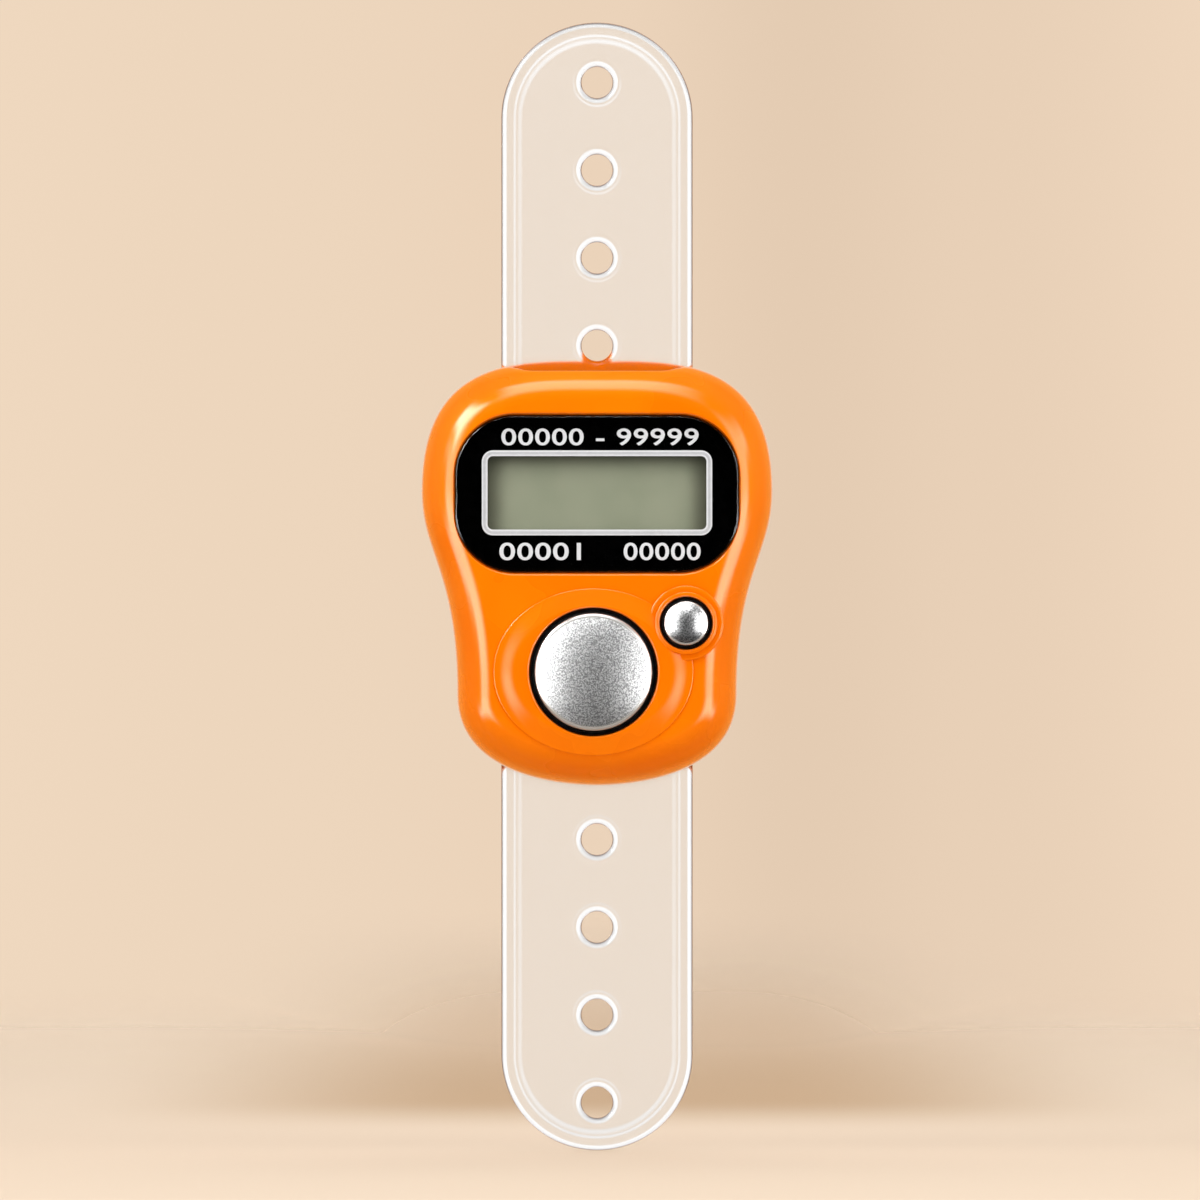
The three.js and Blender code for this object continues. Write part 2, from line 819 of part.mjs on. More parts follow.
function cellCap() {
  const bevel = cellGasketDrop;
  return closedGeometry(turned([
    [0, cellFrontY],
    [cellCapRadius - bevel, cellFrontY],
    [cellCapRadius, cellFrontY + bevel],
    [cellCapRadius, cellFrontY + cellCapHeight],
    [0, cellFrontY + cellCapHeight],
  ], wideCircleSteps));
}

function negativeContact() {
  return box(
    -cellCapRadius, cellCapRadius, boardRearY, boardRearY + contactThickness,
    cellZ - contactWidth / 2, cellZ + contactWidth / 2,
  );
}

// A strip over the back of the cell, with a leg down to the board
function positiveContact() {
  const legZ = cellZ + cellRadius + 2 * contactClearance;
  const strip = solid(box(
    -contactWidth / 2, contactWidth / 2, plateFrontY - contactThickness, plateFrontY,
    cellZ, legZ + contactThickness,
  ));
  const leg = solid(box(
    -contactWidth / 2, contactWidth / 2, boardRearY, plateFrontY, legZ, legZ + contactThickness,
  ));
  return geometryOf(strip.add(leg));
}

// Buttons: a metallised cap over a rubber dome that carries a carbon pill

function buttonCap(button) {
  const edgeY = faceY - button.bossHeight - button.standHeight;
  const crownRadius = button.capRadius - button.edgeRound;
  const sphere = (crownRadius ** 2 + button.crownHeight ** 2) / (2 * button.crownHeight);
  const profile = [];
  for (let i = 0; i <= crownSteps; i += 1) {
    const radius = (i / crownSteps) * crownRadius;
    const drop = sphere - Math.sqrt(sphere ** 2 - radius ** 2);
    profile.push([radius, edgeY - button.crownHeight + drop]);
  }
  for (let i = 1; i <= roundSteps; i += 1) {
    const angle = ((i / roundSteps) * Math.PI) / 2;
    profile.push([
      crownRadius + button.edgeRound * Math.sin(angle),
      edgeY + button.edgeRound * (1 - Math.cos(angle)),
    ]);
  }
  const hollowRadius = button.capRadius - button.capWall;
  profile.push(
    [button.capRadius, flangeFrontY],
    [button.flangeRadius, flangeFrontY],
    [button.flangeRadius, flangeRearY],
    [hollowRadius, flangeRearY],
    [hollowRadius, edgeY + button.capWall],
    [button.stemRadius, edgeY + button.capWall],
    [button.stemRadius, flangeRearY],
    [0, flangeRearY],
  );
  return closedGeometry(turned(profile, button.steps));
}

function buttonRing(button) {
  const inner = button.capRadius + buttonSideGap;
  const outer = inner + button.ringWidth;
  const frontY = faceY - button.bossHeight + ringSetback;
  return closedGeometry(turned(
    [[inner, frontY], [outer, frontY], [outer, shelfRearY], [inner, shelfRearY], [inner, frontY]],
    button.steps,
  ));
}

function pillRearY(button) {
  return boardFrontY - button.travel - pillRestGap;
}

function rubberDome(button) {
  const pillFrontY = pillRearY(button) - pillThickness;
  return closedGeometry(turned([
    [0, flangeRearY],
    [button.domeTopRadius, flangeRearY],
    [button.domeSkirtRadius, boardFrontY - domeWall],
    [button.domeBaseRadius, boardFrontY - domeWall],
    [button.domeBaseRadius, boardFrontY],
    [button.domeSkirtRadius - domeWall, boardFrontY],
    [button.domeTopRadius - domeWall / 2, flangeRearY + domeTopThickness],
    [button.pillRadius, flangeRearY + domeTopThickness],
    [button.pillRadius, pillFrontY],
    [0, pillFrontY],
  ], button.steps));
}

function contactPill(button) {
  const rearY = pillRearY(button);
  const frontY = rearY - pillThickness;
  return closedGeometry(turned(
    [[0, frontY], [button.pillRadius, frontY], [button.pillRadius, rearY], [0, rearY]],
    smallCircleSteps,
  ));
}

// Screws, with the head towards the back

function screw(length) {
  const body = solid(turned([
    [0, -length],
    [screwShankRadius, -length + screwPointLength],
    [screwShankRadius, 0],
    [screwHeadRadius, 0],
    [screwHeadRadius, screwHeadHeight - screwHeadChamfer],
    [screwHeadRadius - screwHeadChamfer, screwHeadHeight],
    [0, screwHeadHeight],
  ], fastenerSteps));
  const reach = screwHeadRadius - screwSlotMargin;
  const half = screwSlotWidth / 2;
  const floor = screwHeadHeight - screwSlotDepth;
  const acrossX = solid(box(-reach, reach, floor, screwHeadHeight + overshoot, -half, half));
  const acrossZ = solid(box(-half, half, floor, screwHeadHeight + overshoot, -reach, reach));
  return geometryOf(body.subtract(acrossX.add(acrossZ)));
}

// Strap: one moulding, parted at the two bends so that both tails can turn

function strapPiece(lowZ, highZ, knuckleZs) {
  const half = strapThickness / 2;
  const rings = [];
  for (let i = 0; i <= strapEdgeSteps; i += 1) {
    const angle = (i / strapEdgeSteps - 1 / 2) * Math.PI;
    rings.push({
      points: strapOutline(strapEdgeRound * (1 - Math.cos(angle))),
      y: strapY + half * Math.sin(angle),
    });
  }
  let piece = solid(loft(rings)).intersect(solid(box(
    -strapWidth, strapWidth, strapY - strapThickness, strapY + strapThickness, lowZ, highZ,
  )));
  for (const z of knuckleZs) {
    const length = strapWidth - 2 * strapEdgeRound;
    const knuckle = new THREE.CylinderGeometry(half, half, length, smallCircleSteps);
    piece = piece.add(solid(knuckle.rotateZ(Math.PI / 2).translate(0, strapY, z)));
  }

  // A thin web between a thicker rim and a lip round every hole
  for (const side of [-1, 1]) {
    const floorY = strapY + side * (half - strapWebRecess);
    const outsideY = strapY + side * (half + overshoot);
    let recess = solid(loft([
      { points: strapOutline(strapRimWidth), y: Math.min(floorY, outsideY) },
      { points: strapOutline(strapRimWidth), y: Math.max(floorY, outsideY) },
    ]));
    for (const z of [...upperHoleZs, ...lowerHoleZs]) {
      recess = recess.subtract(bar(
        holeLipRadius, strapY - 2 * strapThickness, strapY + 2 * strapThickness, 0, z, smallCircleSteps,
      ));
    }
    piece = piece.subtract(recess);
  }
  for (const z of [...upperHoleZs, ...lowerHoleZs]) {
    piece = piece.subtract(bar(
      holeRadius, strapY - strapThickness, strapY + strapThickness, 0, z, smallCircleSteps,
    ));
  }
  return geometryOf(piece);
}

// Assembly

const tallyCounter = new THREE.Group();
const creaseAngle = Math.PI / 5;

function addPart(name, geometry, finish, x = 0, z = 0) {
  const material = new THREE.MeshStandardMaterial(finish);
  const mesh = new THREE.Mesh(toCreasedNormals(geometry, creaseAngle), material);
  mesh.name = name;
  mesh.position.set(x, 0, z);
  tallyCounter.add(mesh);
}

const orangePlastic = { color: 0xff7a05, roughness: 0.22, metalness: 0 };
const blackPlastic = { color: 0x0b0b0c, roughness: 0.3, metalness: 0 };
const blackPrint = { color: 0x050505, roughness: 0.2, metalness: 0 };
const blackRubber = { color: 0x111111, roughness: 0.7, metalness: 0 };
const blackFoam = { color: 0x141414, roughness: 0.95, metalness: 0 };
const satinSilver = { color: 0xcfcfd1, roughness: 0.35, metalness: 1 };
const clearLens = { color: 0xffffff, roughness: 0.05, metalness: 0, transparent: true, opacity: 0.25 };
const clearStrap = { color: 0xf4f0ea, roughness: 0.15, metalness: 0, transparent: true, opacity: 0.45 };
const displayFilm = { color: 0x8e937c, roughness: 0.35, metalness: 0 };
const displayGlass = { color: 0xdfe6da, roughness: 0.05, metalness: 0, transparent: true, opacity: 0.5 };
const reflectorFilm = { color: 0xa9ab9c, roughness: 0.5, metalness: 0.3 };
const zebraRubber = { color: 0xd9c7c0, roughness: 0.8, metalness: 0 };
const greenBoard = { color: 0x1f5a36, roughness: 0.5, metalness: 0 };
const resin = { color: 0x101010, roughness: 0.35, metalness: 0 };
const tanCeramic = { color: 0xb79a72, roughness: 0.6, metalness: 0 };
const blackCeramic = { color: 0x1c1c1e, roughness: 0.5, metalness: 0 };
const steel = { color: 0xb9bbbe, roughness: 0.3, metalness: 1 };
const springBrass = { color: 0xc9a352, roughness: 0.35, metalness: 1 };
const nylon = { color: 0x2b2b2e, roughness: 0.6, metalness: 0 };
const carbon = { color: 0x1a1a1a, roughness: 0.9, metalness: 0 };
const whitePlastic = { color: 0xe9e8e3, roughness: 0.5, metalness: 0 };

addPart("front_shell", frontShell(), orangePlastic);
addPart("back_shell", backShell(), orangePlastic);
addPart("inner_plate", innerPlate(), whitePlastic);
addPart("display_lens", displayLens(), clearLens);
addPart("display_mask", displayMask(), blackPrint);
addPart("display_dust_gasket", dustGasket(), blackFoam);

const rearGlassY = glassLedgeY;
const rearPolariserY = rearGlassY + glassThickness;
addPart(
  "lcd_front_polariser",
  plateGlass(polariserWidth, polariserHeight, displayFrontY, polariserThickness),
  displayFilm,
);
addPart(
  "lcd_front_glass",
  plateGlass(glassWidth, frontGlassHeight, glassFrontY, glassThickness),
  displayGlass,
);
addPart(
  "lcd_rear_glass",
  plateGlass(glassWidth, rearGlassHeight, rearGlassY, glassThickness),
  displayGlass,
);
addPart(
  "lcd_rear_polariser",
  plateGlass(polariserWidth, polariserHeight, rearPolariserY, polariserThickness),
  reflectorFilm,
);
addPart("zebra_strip_upper", zebraStrip(1), zebraRubber);
addPart("zebra_strip_lower", zebraStrip(-1), zebraRubber);

addPart("circuit_board", circuitBoard(), greenBoard);
addPart("chip_resin_cap", chipResinCap(), resin, chipX, chipZ);
addPart("capacitor", boardComponent(capacitorSize), tanCeramic, capacitorX, capacitorZ);
addPart("resistor", boardComponent(resistorSize), blackCeramic, resistorX, resistorZ);
addPart("cell_can", cellCan(), steel, 0, cellZ);
addPart("cell_gasket", cellGasket(), nylon, 0, cellZ);
addPart("cell_cap", cellCap(), steel, 0, cellZ);
addPart("battery_negative_contact", negativeContact(), springBrass);
addPart("battery_positive_contact", positiveContact(), springBrass);

for (const [label, button] of [["count", countButton], ["reset", resetButton]]) {
  addPart(`${label}_button`, buttonCap(button), satinSilver, button.x, button.z);
  addPart(`${label}_button_ring`, buttonRing(button), blackPlastic, button.x, button.z);
  addPart(`${label}_rubber_dome`, rubberDome(button), blackRubber, button.x, button.z);
  addPart(`${label}_contact_pill`, contactPill(button), carbon, button.x, button.z);
}

for (const { name, x, z } of caseScrewPlaces) {
  const geometry = screw(caseScrewLength).translate(0, partingY + caseScrewWeb, 0);
  addPart(name, geometry, steel, x, z);
}
for (const { name, x, z } of boardScrewPlaces) {
  const geometry = screw(boardScrewLength).translate(0, boardRearY, 0);
  addPart(name, geometry, steel, x, z);
}

addPart("strap_middle", strapPiece(-strapStubZ, strapStubZ, []), clearStrap);
addPart("strap_upper_tail", strapPiece(pivotZ, strapTopZ, [pivotZ]), clearStrap);
addPart("strap_lower_tail", strapPiece(strapBottomZ, -pivotZ, [-pivotZ]), clearStrap);

export default tallyCounter;
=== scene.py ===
"""Dresses a finger tally counter: glossy case, blank display, satin buttons and a clear strap."""

import json
import math

import bmesh
import bpy
from mathutils import Matrix, Vector
from mathutils.geometry import interpolate_bezier


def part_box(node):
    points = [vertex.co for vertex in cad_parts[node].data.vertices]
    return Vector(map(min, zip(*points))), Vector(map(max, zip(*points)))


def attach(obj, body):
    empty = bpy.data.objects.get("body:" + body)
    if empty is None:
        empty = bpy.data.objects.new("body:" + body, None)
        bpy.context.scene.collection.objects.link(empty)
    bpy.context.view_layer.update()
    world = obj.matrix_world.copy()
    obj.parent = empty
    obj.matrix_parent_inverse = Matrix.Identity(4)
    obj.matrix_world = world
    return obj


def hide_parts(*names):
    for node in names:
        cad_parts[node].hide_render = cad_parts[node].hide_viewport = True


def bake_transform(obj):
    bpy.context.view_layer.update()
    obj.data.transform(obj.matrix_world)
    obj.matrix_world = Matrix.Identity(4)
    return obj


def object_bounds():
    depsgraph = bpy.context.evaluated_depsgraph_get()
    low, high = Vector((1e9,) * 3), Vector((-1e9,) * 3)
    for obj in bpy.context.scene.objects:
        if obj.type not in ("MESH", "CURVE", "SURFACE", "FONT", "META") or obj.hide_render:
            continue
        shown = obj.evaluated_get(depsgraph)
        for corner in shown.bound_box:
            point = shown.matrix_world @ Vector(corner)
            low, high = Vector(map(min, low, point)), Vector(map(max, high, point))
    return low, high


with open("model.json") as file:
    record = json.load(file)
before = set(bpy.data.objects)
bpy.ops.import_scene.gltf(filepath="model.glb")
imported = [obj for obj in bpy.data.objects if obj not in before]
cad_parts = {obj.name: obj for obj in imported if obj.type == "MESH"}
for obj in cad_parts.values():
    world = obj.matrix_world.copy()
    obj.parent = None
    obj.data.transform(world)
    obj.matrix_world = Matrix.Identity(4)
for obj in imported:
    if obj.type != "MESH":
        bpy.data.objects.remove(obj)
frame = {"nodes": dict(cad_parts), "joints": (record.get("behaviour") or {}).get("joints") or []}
cad_low, cad_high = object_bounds()
nodes = frame["nodes"]

MM = 0.001
WELD = 1e-7
QUARTER = math.pi / 2

# Places taken from the frame
back_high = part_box("back_shell")[1]
lens_low, lens_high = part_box("display_lens")
mask_low, mask_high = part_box("display_mask")
gasket_low, gasket_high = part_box("display_dust_gasket")
plate_low, plate_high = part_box("inner_plate")
strap_low, strap_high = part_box("strap_middle")
strap_top_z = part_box("strap_upper_tail")[1].z
strap_bottom_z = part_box("strap_lower_tail")[0].z

HALF_HEIGHT = back_high.z
SHOULDER_HALF_WIDTH = back_high.x
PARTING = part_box("front_shell")[1].y
FOOT = back_high.y
LENS_FRONT = lens_low.y
LENS_SETBACK = 0.15 * MM
FACE = LENS_FRONT - LENS_SETBACK
SHELF_FRONT = mask_high.y
SHELF_REAR = gasket_high.y
BOARD_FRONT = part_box("circuit_board")[0].y
PLATE_FRONT = plate_low.y
TUNNEL_FRONT = plate_high.y
STRAP_HALF_WIDTH = (strap_high.x - strap_low.x) / 2
STRAP_HALF_THICKNESS = (strap_high.y - strap_low.y) / 2
STRAP_MIDDLE = (strap_high.y + strap_low.y) / 2

# Scale and framing of the photograph
PIXEL = 0.08857 * MM
PHOTO_SIZE = 1200
PHOTO_CENTRE_X, PHOTO_CENTRE_Y = 597, 573
SCALED_DEPTH = -3 * MM
CAMERA_DISTANCE = 1.5
SENSOR_WIDTH = 36

# Case outline: a shoulder, a waist and two flat arches
SHOULDER_Z = 7.26 * MM
WAIST_HALF_WIDTH = 12.37 * MM
WAIST_Z = -10.77 * MM
TOP_LEAN = 6.56 * MM
SHOULDER_LEAN_UP = 12.06 * MM
SHOULDER_LEAN_DOWN = 5.58 * MM
WAIST_LEAN_UP = 10.9 * MM
WAIST_LEAN_DOWN = 7.62 * MM
BOTTOM_LEAN = 2.07 * MM
ARCH_STEPS = 32

# Case roundings and walls
PILLOW_INSET = 3.6 * MM
PILLOW_DEPTH = 8 * MM
PILLOW_FULLNESS = 2.2
PILLOW_STEPS = 30
SIDE_STEPS = 6
SEAM_CHAMFER = 0.1 * MM
CASE_WALL = 1.6 * MM
RIM_WALL = 1.1 * MM
END_WALL = 2.5 * MM
CAVITY_SHOULDER = 0.7 * MM
HOLLOW_OVERLAP = 0.2 * MM
BACK_ROUNDING = 1.4 * MM
SEAT_RADIUS = 22 * MM
SEAT_SIDES = 720
COUNTERBORE_FLOOR = PARTING + MM
COUNTERBORE_RADIUS = 1.4 * MM
COUNTERBORE_FLARE = 0.2 * MM
COUNTERBORE_SIDES = 64

# Tunnel of the strap and the relief over it
TUNNEL_HALF_WIDTH = STRAP_HALF_WIDTH + 0.15 * MM
RELIEF_FLOOR = HALF_HEIGHT - 0.98 * MM
RELIEF_SHOULDER = HALF_HEIGHT - 0.38 * MM
RELIEF_RAMP = 2.85 * MM
RELIEF_SOFTNESS = 0.16 * MM

# Bosses round the buttons: a foot is (half width, half height), a tier is (radius, height)
BOSS_ROOT = FACE + 3 * MM
BOSS_EDGE = 0.1 * MM
BOSS_STEPS = 24
COUNT_FOOT = (8.8 * MM, 7.35 * MM)
COUNT_TOP_PAST_RING = (1.0 * MM, 0.15 * MM)
COUNT_STEP = 0.16 * MM
COUNT_HEIGHT = 0.7 * MM
RESET_TIERS = ((3.3 * MM, 0.35 * MM), (2.75 * MM, 0.75 * MM))
TIER_SLOPE_WIDTH = 0.2 * MM
TIER_SLOPE_HEIGHT = 0.03 * MM

# Lens and openings in the front: the lens's edge is given as (inset, drop)
LENS_CLEARANCE = 0.1 * MM
LENS_CORNER = 5.3 * MM
LENS_EDGE = ((0.6 * MM, 0), (0.2 * MM, 0), (0.05 * MM, 0.1 * MM), (0, 0.14 * MM))
GASKET_CLEARANCE = 0.05 * MM
GASKET_CORNER = 1.1 * MM
OPENING_LIP = 0.2 * MM
LIP_TURN = math.radians(80)
BUTTON_GAP = 0.05 * MM
CORNER_STEPS = 16
LIP_STEPS = 6
ROUND_STEPS = 8

# Print on the back of the lens: each number with its left, top, right and bottom in the photograph
WINDOW_WIDTH = 19.3 * MM
WINDOW_HEIGHT = 6.5 * MM
WINDOW_Z = 7.04 * MM
WINDOW_CORNER = 0.5 * MM
PRINT_LINE = 0.49 * MM
PRINT_GROOVE = 0.14 * MM
PRINT_OVERLAP = 0.02 * MM
INK = 0.02 * MM
GROOVE_INK = 1.4 * INK
DIGIT_WEIGHT = 0.012
DIGIT_SPACING = 1.06
DIGIT_EXTRUSION = 0.01
NUMBERS = (
    ("number_range", "00000 - 99999", 502, 429.5, 698, 446.5),
    ("number_one", "00001", 500, 543, 581, 560.5),
    ("number_zero", "00000", 623.5, 543, 700, 560.5),
)

# Buttons
CROWN_HEIGHT = {"count": 1.0 * MM, "reset": 0.6 * MM}
CROWN_ROUNDING = {"count": 0.3 * MM, "reset": 0.2 * MM}
CAP_INSET = {"count": 0.45 * MM, "reset": 0.36 * MM}
RING_WIDTH = {"count": 0.37 * MM, "reset": 0.28 * MM}
POLISHED_EDGE = {"count": 0.8 * MM, "reset": 0.55 * MM}
PLATING = {"count": 0.92, "reset": 1.0}
SATIN_ROUGHNESS = {"count": 0.42, "reset": 0.34}
CROWN_STEPS = 40
FLANGE_THICKNESS = 0.6 * MM
RING_LIP = 0.08 * MM
DOME_WALL = 0.5 * MM
DOME_RIM = 0.7 * MM
DOME_TOP_SHARE = 0.6
DOME_EDGE = 0.1 * MM
BUTTON_SIDES = 128
DOME_SIDES = 64

# Screws
SCREW_HEAD = 1.2 * MM
SCREW_HEAD_HEIGHT = 0.8 * MM
SCREW_HEAD_ROUNDING = 0.35 * MM
SCREW_SHANK = 0.65 * MM
SCREW_TIP = 0.6 * MM
SCREW_NECK = 0.1 * MM
THREAD_PITCH = 0.25 * MM
THREAD_CREST = 0.06 * MM
THREAD_ROOT = 0.16 * MM
THREAD_DEPTH = 0.08 * MM
THREAD_STOP = 0.2 * MM
CROSS_REACH = 0.75 * MM
CROSS_HALF_WIDTH = 0.14 * MM
CROSS_DEPTH = 0.45 * MM
SCREW_SIDES = 48

# Strap: a step, a dish and a lip are given as (width, height)
STRAP_ROUND = 0.5 * MM
STRAP_RIM = 1.0 * MM
STRAP_STEP = (0.33 * MM, 0.02 * MM)
STRAP_DISH = (0.62 * MM, 0.03 * MM)
STRAP_STEPS = 96
HOLE_RADIUS = 1.375 * MM
HOLE_ROUND = 0.53 * MM
HOLE_LIP = (0.33 * MM, 0.015 * MM)
HOLE_PITCH = 7.77 * MM
UPPER_HOLE_MARGIN = 5.31 * MM
LOWER_HOLE_MARGIN = 4.26 * MM
HOLES_PER_END = 5
BEND_REACH = 1.3 * MM
BEND_ROWS = 16


# Shared shaping tools

def colour(red, green, blue):
    """A display colour, 0 to 255 a channel, as the linear colour that shaders take."""
    channels = [value / 255 for value in (red, green, blue)]
    return tuple(c / 12.92 if c <= 0.04045 else ((c + 0.055) / 1.055) ** 2.4 for c in channels) + (1.0,)


def at_photo(x, y):
    """A point on the counter's front, as (x, z), from its place in the photograph in pixels."""
    return (x - PHOTO_CENTRE_X) * PIXEL, (PHOTO_CENTRE_Y - y) * PIXEL


def round_place(node):
    """Centre x and z, radius, front and rear of a round node."""
    low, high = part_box(node)
    return (low.x + high.x) / 2, (low.z + high.z) / 2, (high.x - low.x) / 2, low.y, high.y


def eased(share):
    """A share from 0 to 1 that starts and ends level."""
    return share * share * (3 - 2 * share)


def mesh_object(name, bm):
    mesh = bpy.data.meshes.new(name)
    bm.to_mesh(mesh)
    bm.free()
    piece = bpy.data.objects.new(name, mesh)
    bpy.context.scene.collection.objects.link(piece)
    return piece


def band(bm, rings):
    """An open band of faces over rings of (x, z) points, each with its depth y, added to bm."""
    around = len(rings[0][0])
    along = len(rings) - 1
    made = bmesh.ops.create_grid(bm, x_segments=around, y_segments=along, size=1)["verts"]
    for vert in made:
        step = round((vert.co.x + 1) / 2 * around) % around
        points, depth = rings[round((vert.co.y + 1) / 2 * along)]
        x, z = points[step]
        vert.co = (x, depth, z)
    bmesh.ops.remove_doubles(bm, verts=made, dist=WELD)


def skin(name, rings, looped=False):
    """A closed solid over rings of points; looped rings close on the first, others are capped."""
    bm = bmesh.new()
    band(bm, rings + rings[:1] if looped else rings)
    bmesh.ops.holes_fill(bm, edges=bm.edges, sides=0)
    bmesh.ops.recalc_face_normals(bm, faces=bm.faces)
    return mesh_object(name, bm)


def turned(name, profile, x, z, steps):
    """A solid turned about an axis along Y through (x, z), from (radius, y) pairs."""
    bm = bmesh.new()
    verts = [bm.verts.new((radius, y, 0)) for radius, y in profile]
    edges = [bm.edges.new(pair) for pair in zip(verts, verts[1:])]
    bmesh.ops.spin(
        bm, geom=verts + edges, cent=(0, 0, 0), axis=(0, 1, 0), angle=2 * math.pi,
        steps=steps, use_merge=True,
    )
    bmesh.ops.remove_doubles(bm, verts=bm.verts, dist=WELD)
    bmesh.ops.recalc_face_normals(bm, faces=bm.faces)
    bmesh.ops.translate(bm, verts=bm.verts, vec=(x, 0, z))
    return mesh_object(name, bm)


def block(name, low, high):
    bm = bmesh.new()
    bmesh.ops.create_cube(bm, size=1)
    bmesh.ops.scale(bm, verts=bm.verts, vec=[b - a for a, b in zip(low, high)])
    bmesh.ops.translate(bm, verts=bm.verts, vec=[(a + b) / 2 for a, b in zip(low, high)])
    return mesh_object(name, bm)


def combine(piece, tool, how):
    """Joins, cuts or clips piece by tool, and uses the tool up."""
    modifier = piece.modifiers.new("shape", "BOOLEAN")
    modifier.operation = how
    modifier.solver = "EXACT"
    modifier.object = tool
    depsgraph = bpy.context.evaluated_depsgraph_get()
    mesh = bpy.data.meshes.new_from_object(piece.evaluated_get(depsgraph))
    piece.modifiers.clear()
    piece.data = mesh
    bpy.data.objects.remove(tool)


def smoothed(piece, crease=math.radians(32)):
    """Smooth shading with crisp creases, where the broad faces set the shading of the edges."""
    piece.data.shade_smooth()
    piece.data.set_sharp_from_angle(angle=crease)
    modifier = piece.modifiers.new("even_shading", "WEIGHTED_NORMAL")
    modifier.keep_sharp = True
    modifier.weight = 60
    return piece


def quarter_round(radius, steps=LIP_STEPS):
    """Offsets of a quarter circle, from (radius, 0) to (0, radius)."""
    angles = [QUARTER * step / steps for step in range(steps + 1)]
    return [(radius * (1 - math.sin(a)), radius * (1 - math.cos(a))) for a in angles]


# Outlines, as functions from an inset to a ring of points

def case_outline(inset):
    top = HALF_HEIGHT - inset
    shoulder = SHOULDER_HALF_WIDTH - inset
    waist = WAIST_HALF_WIDTH - inset
    upper_x = shoulder / SHOULDER_HALF_WIDTH
    upper_z = (top - SHOULDER_Z) / (HALF_HEIGHT - SHOULDER_Z)
    lower_x = waist / WAIST_HALF_WIDTH
    lower_z = (top + WAIST_Z) / (HALF_HEIGHT + WAIST_Z)
    arches = (
        ((0, top), (TOP_LEAN * upper_x, top),
         (shoulder, SHOULDER_Z + SHOULDER_LEAN_UP * upper_z), (shoulder, SHOULDER_Z)),
        ((shoulder, SHOULDER_Z), (shoulder, SHOULDER_Z - SHOULDER_LEAN_DOWN),
         (waist, WAIST_Z + WAIST_LEAN_UP), (waist, WAIST_Z)),
        ((waist, WAIST_Z), (waist, WAIST_Z - WAIST_LEAN_DOWN * lower_z),
         (BOTTOM_LEAN * lower_x, -top), (0, -top)),
    )
    right = []
    for arch in arches:
        knots = [Vector((x, z, 0)) for x, z in arch]
        right += [(p.x, p.y) for p in interpolate_bezier(*knots, ARCH_STEPS + 1)[:-1]]
    left = [(-x, z) for x, z in reversed(right[1:])]
    return right + [(0, -top)] + left


def rounded_rectangle(width, height, corner, centre_z):
    def outline(inset):
        radius = corner - inset
        reach_x = width / 2 - corner
        reach_z = height / 2 - corner
        points = []
        for quarter, (side_x, side_z) in enumerate(((1, 1), (-1, 1), (-1, -1), (1, -1))):
            for step in range(CORNER_STEPS + 1):
                angle = (quarter + step / CORNER_STEPS) * QUARTER
                x = side_x * reach_x + radius * math.cos(angle)
                z = centre_z + side_z * reach_z + radius * math.sin(angle)
                points.append((x, z))
        return points
    return outline


def box_outline(low, high, corner):
    """The rounded rectangle that a node's box fills."""
    return rounded_rectangle(high.x - low.x, high.z - low.z, corner, (low.z + high.z) / 2)


def window_outline():
    return rounded_rectangle(WINDOW_WIDTH, WINDOW_HEIGHT, WINDOW_CORNER, WINDOW_Z)


def ellipse(half_width, half_height, x, z, steps=128):
    turns = [2 * math.pi * step / steps for step in range(steps)]
    return [(x + half_width * math.sin(a), z + half_height * math.cos(a)) for a in turns]


def round_outline(x, z, radius):
    return lambda inset: ellipse(radius - inset, radius - inset, x, z)


def strap_outline(end_z):
    """One half of the strap: flat where it meets the other half inside the case, half-round at its tip."""
    side = 1 if end_z > 0 else -1

    def outline(inset):
        radius = STRAP_HALF_WIDTH - inset
        centre = end_z - side * STRAP_HALF_WIDTH
        tip = []
        for step in range(STRAP_STEPS + 1):
            angle = math.pi * step / STRAP_STEPS
            tip.append((radius * math.cos(angle), centre + side * radius * math.sin(angle)))
        seam = [(-radius, side * inset), (radius, side * inset)]
        return tip + seam
    return outline


# Case

def relief_height(x):
    """How high the case reaches over the strap at x, or None beside the strap."""
    if abs(x) >= TUNNEL_HALF_WIDTH:
        return None
    share = max(0.0, (abs(x) - TUNNEL_HALF_WIDTH + RELIEF_RAMP) / RELIEF_RAMP)
    return RELIEF_FLOOR + (RELIEF_SHOULDER - RELIEF_FLOOR) * eased(share)


def dip_over_strap(piece):
    """Presses the top edge of the front case down to the relief, with a soft shoulder."""
    for vert in piece.data.vertices:
        height = relief_height(vert.co.x)
        if height is None:
            continue
        over = vert.co.z - height
        if over > -RELIEF_SOFTNESS:
            ease = min(1.0, (over + RELIEF_SOFTNESS) / (2 * RELIEF_SOFTNESS))
            vert.co.z = min(vert.co.z, height - RELIEF_SOFTNESS * (1 - ease) ** 2)


def pillow_profile():
    """Inset and depth from the parting line up over the rounded edge to the flat face."""
    profile = [(SEAM_CHAMFER, PARTING), (0, PARTING - SEAM_CHAMFER)]
    side = FACE + PILLOW_DEPTH
    profile += [(0, PARTING + (side - PARTING) * step / SIDE_STEPS) for step in range(1, SIDE_STEPS)]
    for step in range(PILLOW_STEPS + 1):
        angle = QUARTER * step / PILLOW_STEPS
        across = math.cos(angle) ** (2 / PILLOW_FULLNESS) if step < PILLOW_STEPS else 0.0
        up = math.sin(angle) ** (2 / PILLOW_FULLNESS)
        profile.append((PILLOW_INSET * (1 - across), FACE + PILLOW_DEPTH * (1 - up)))
    return profile


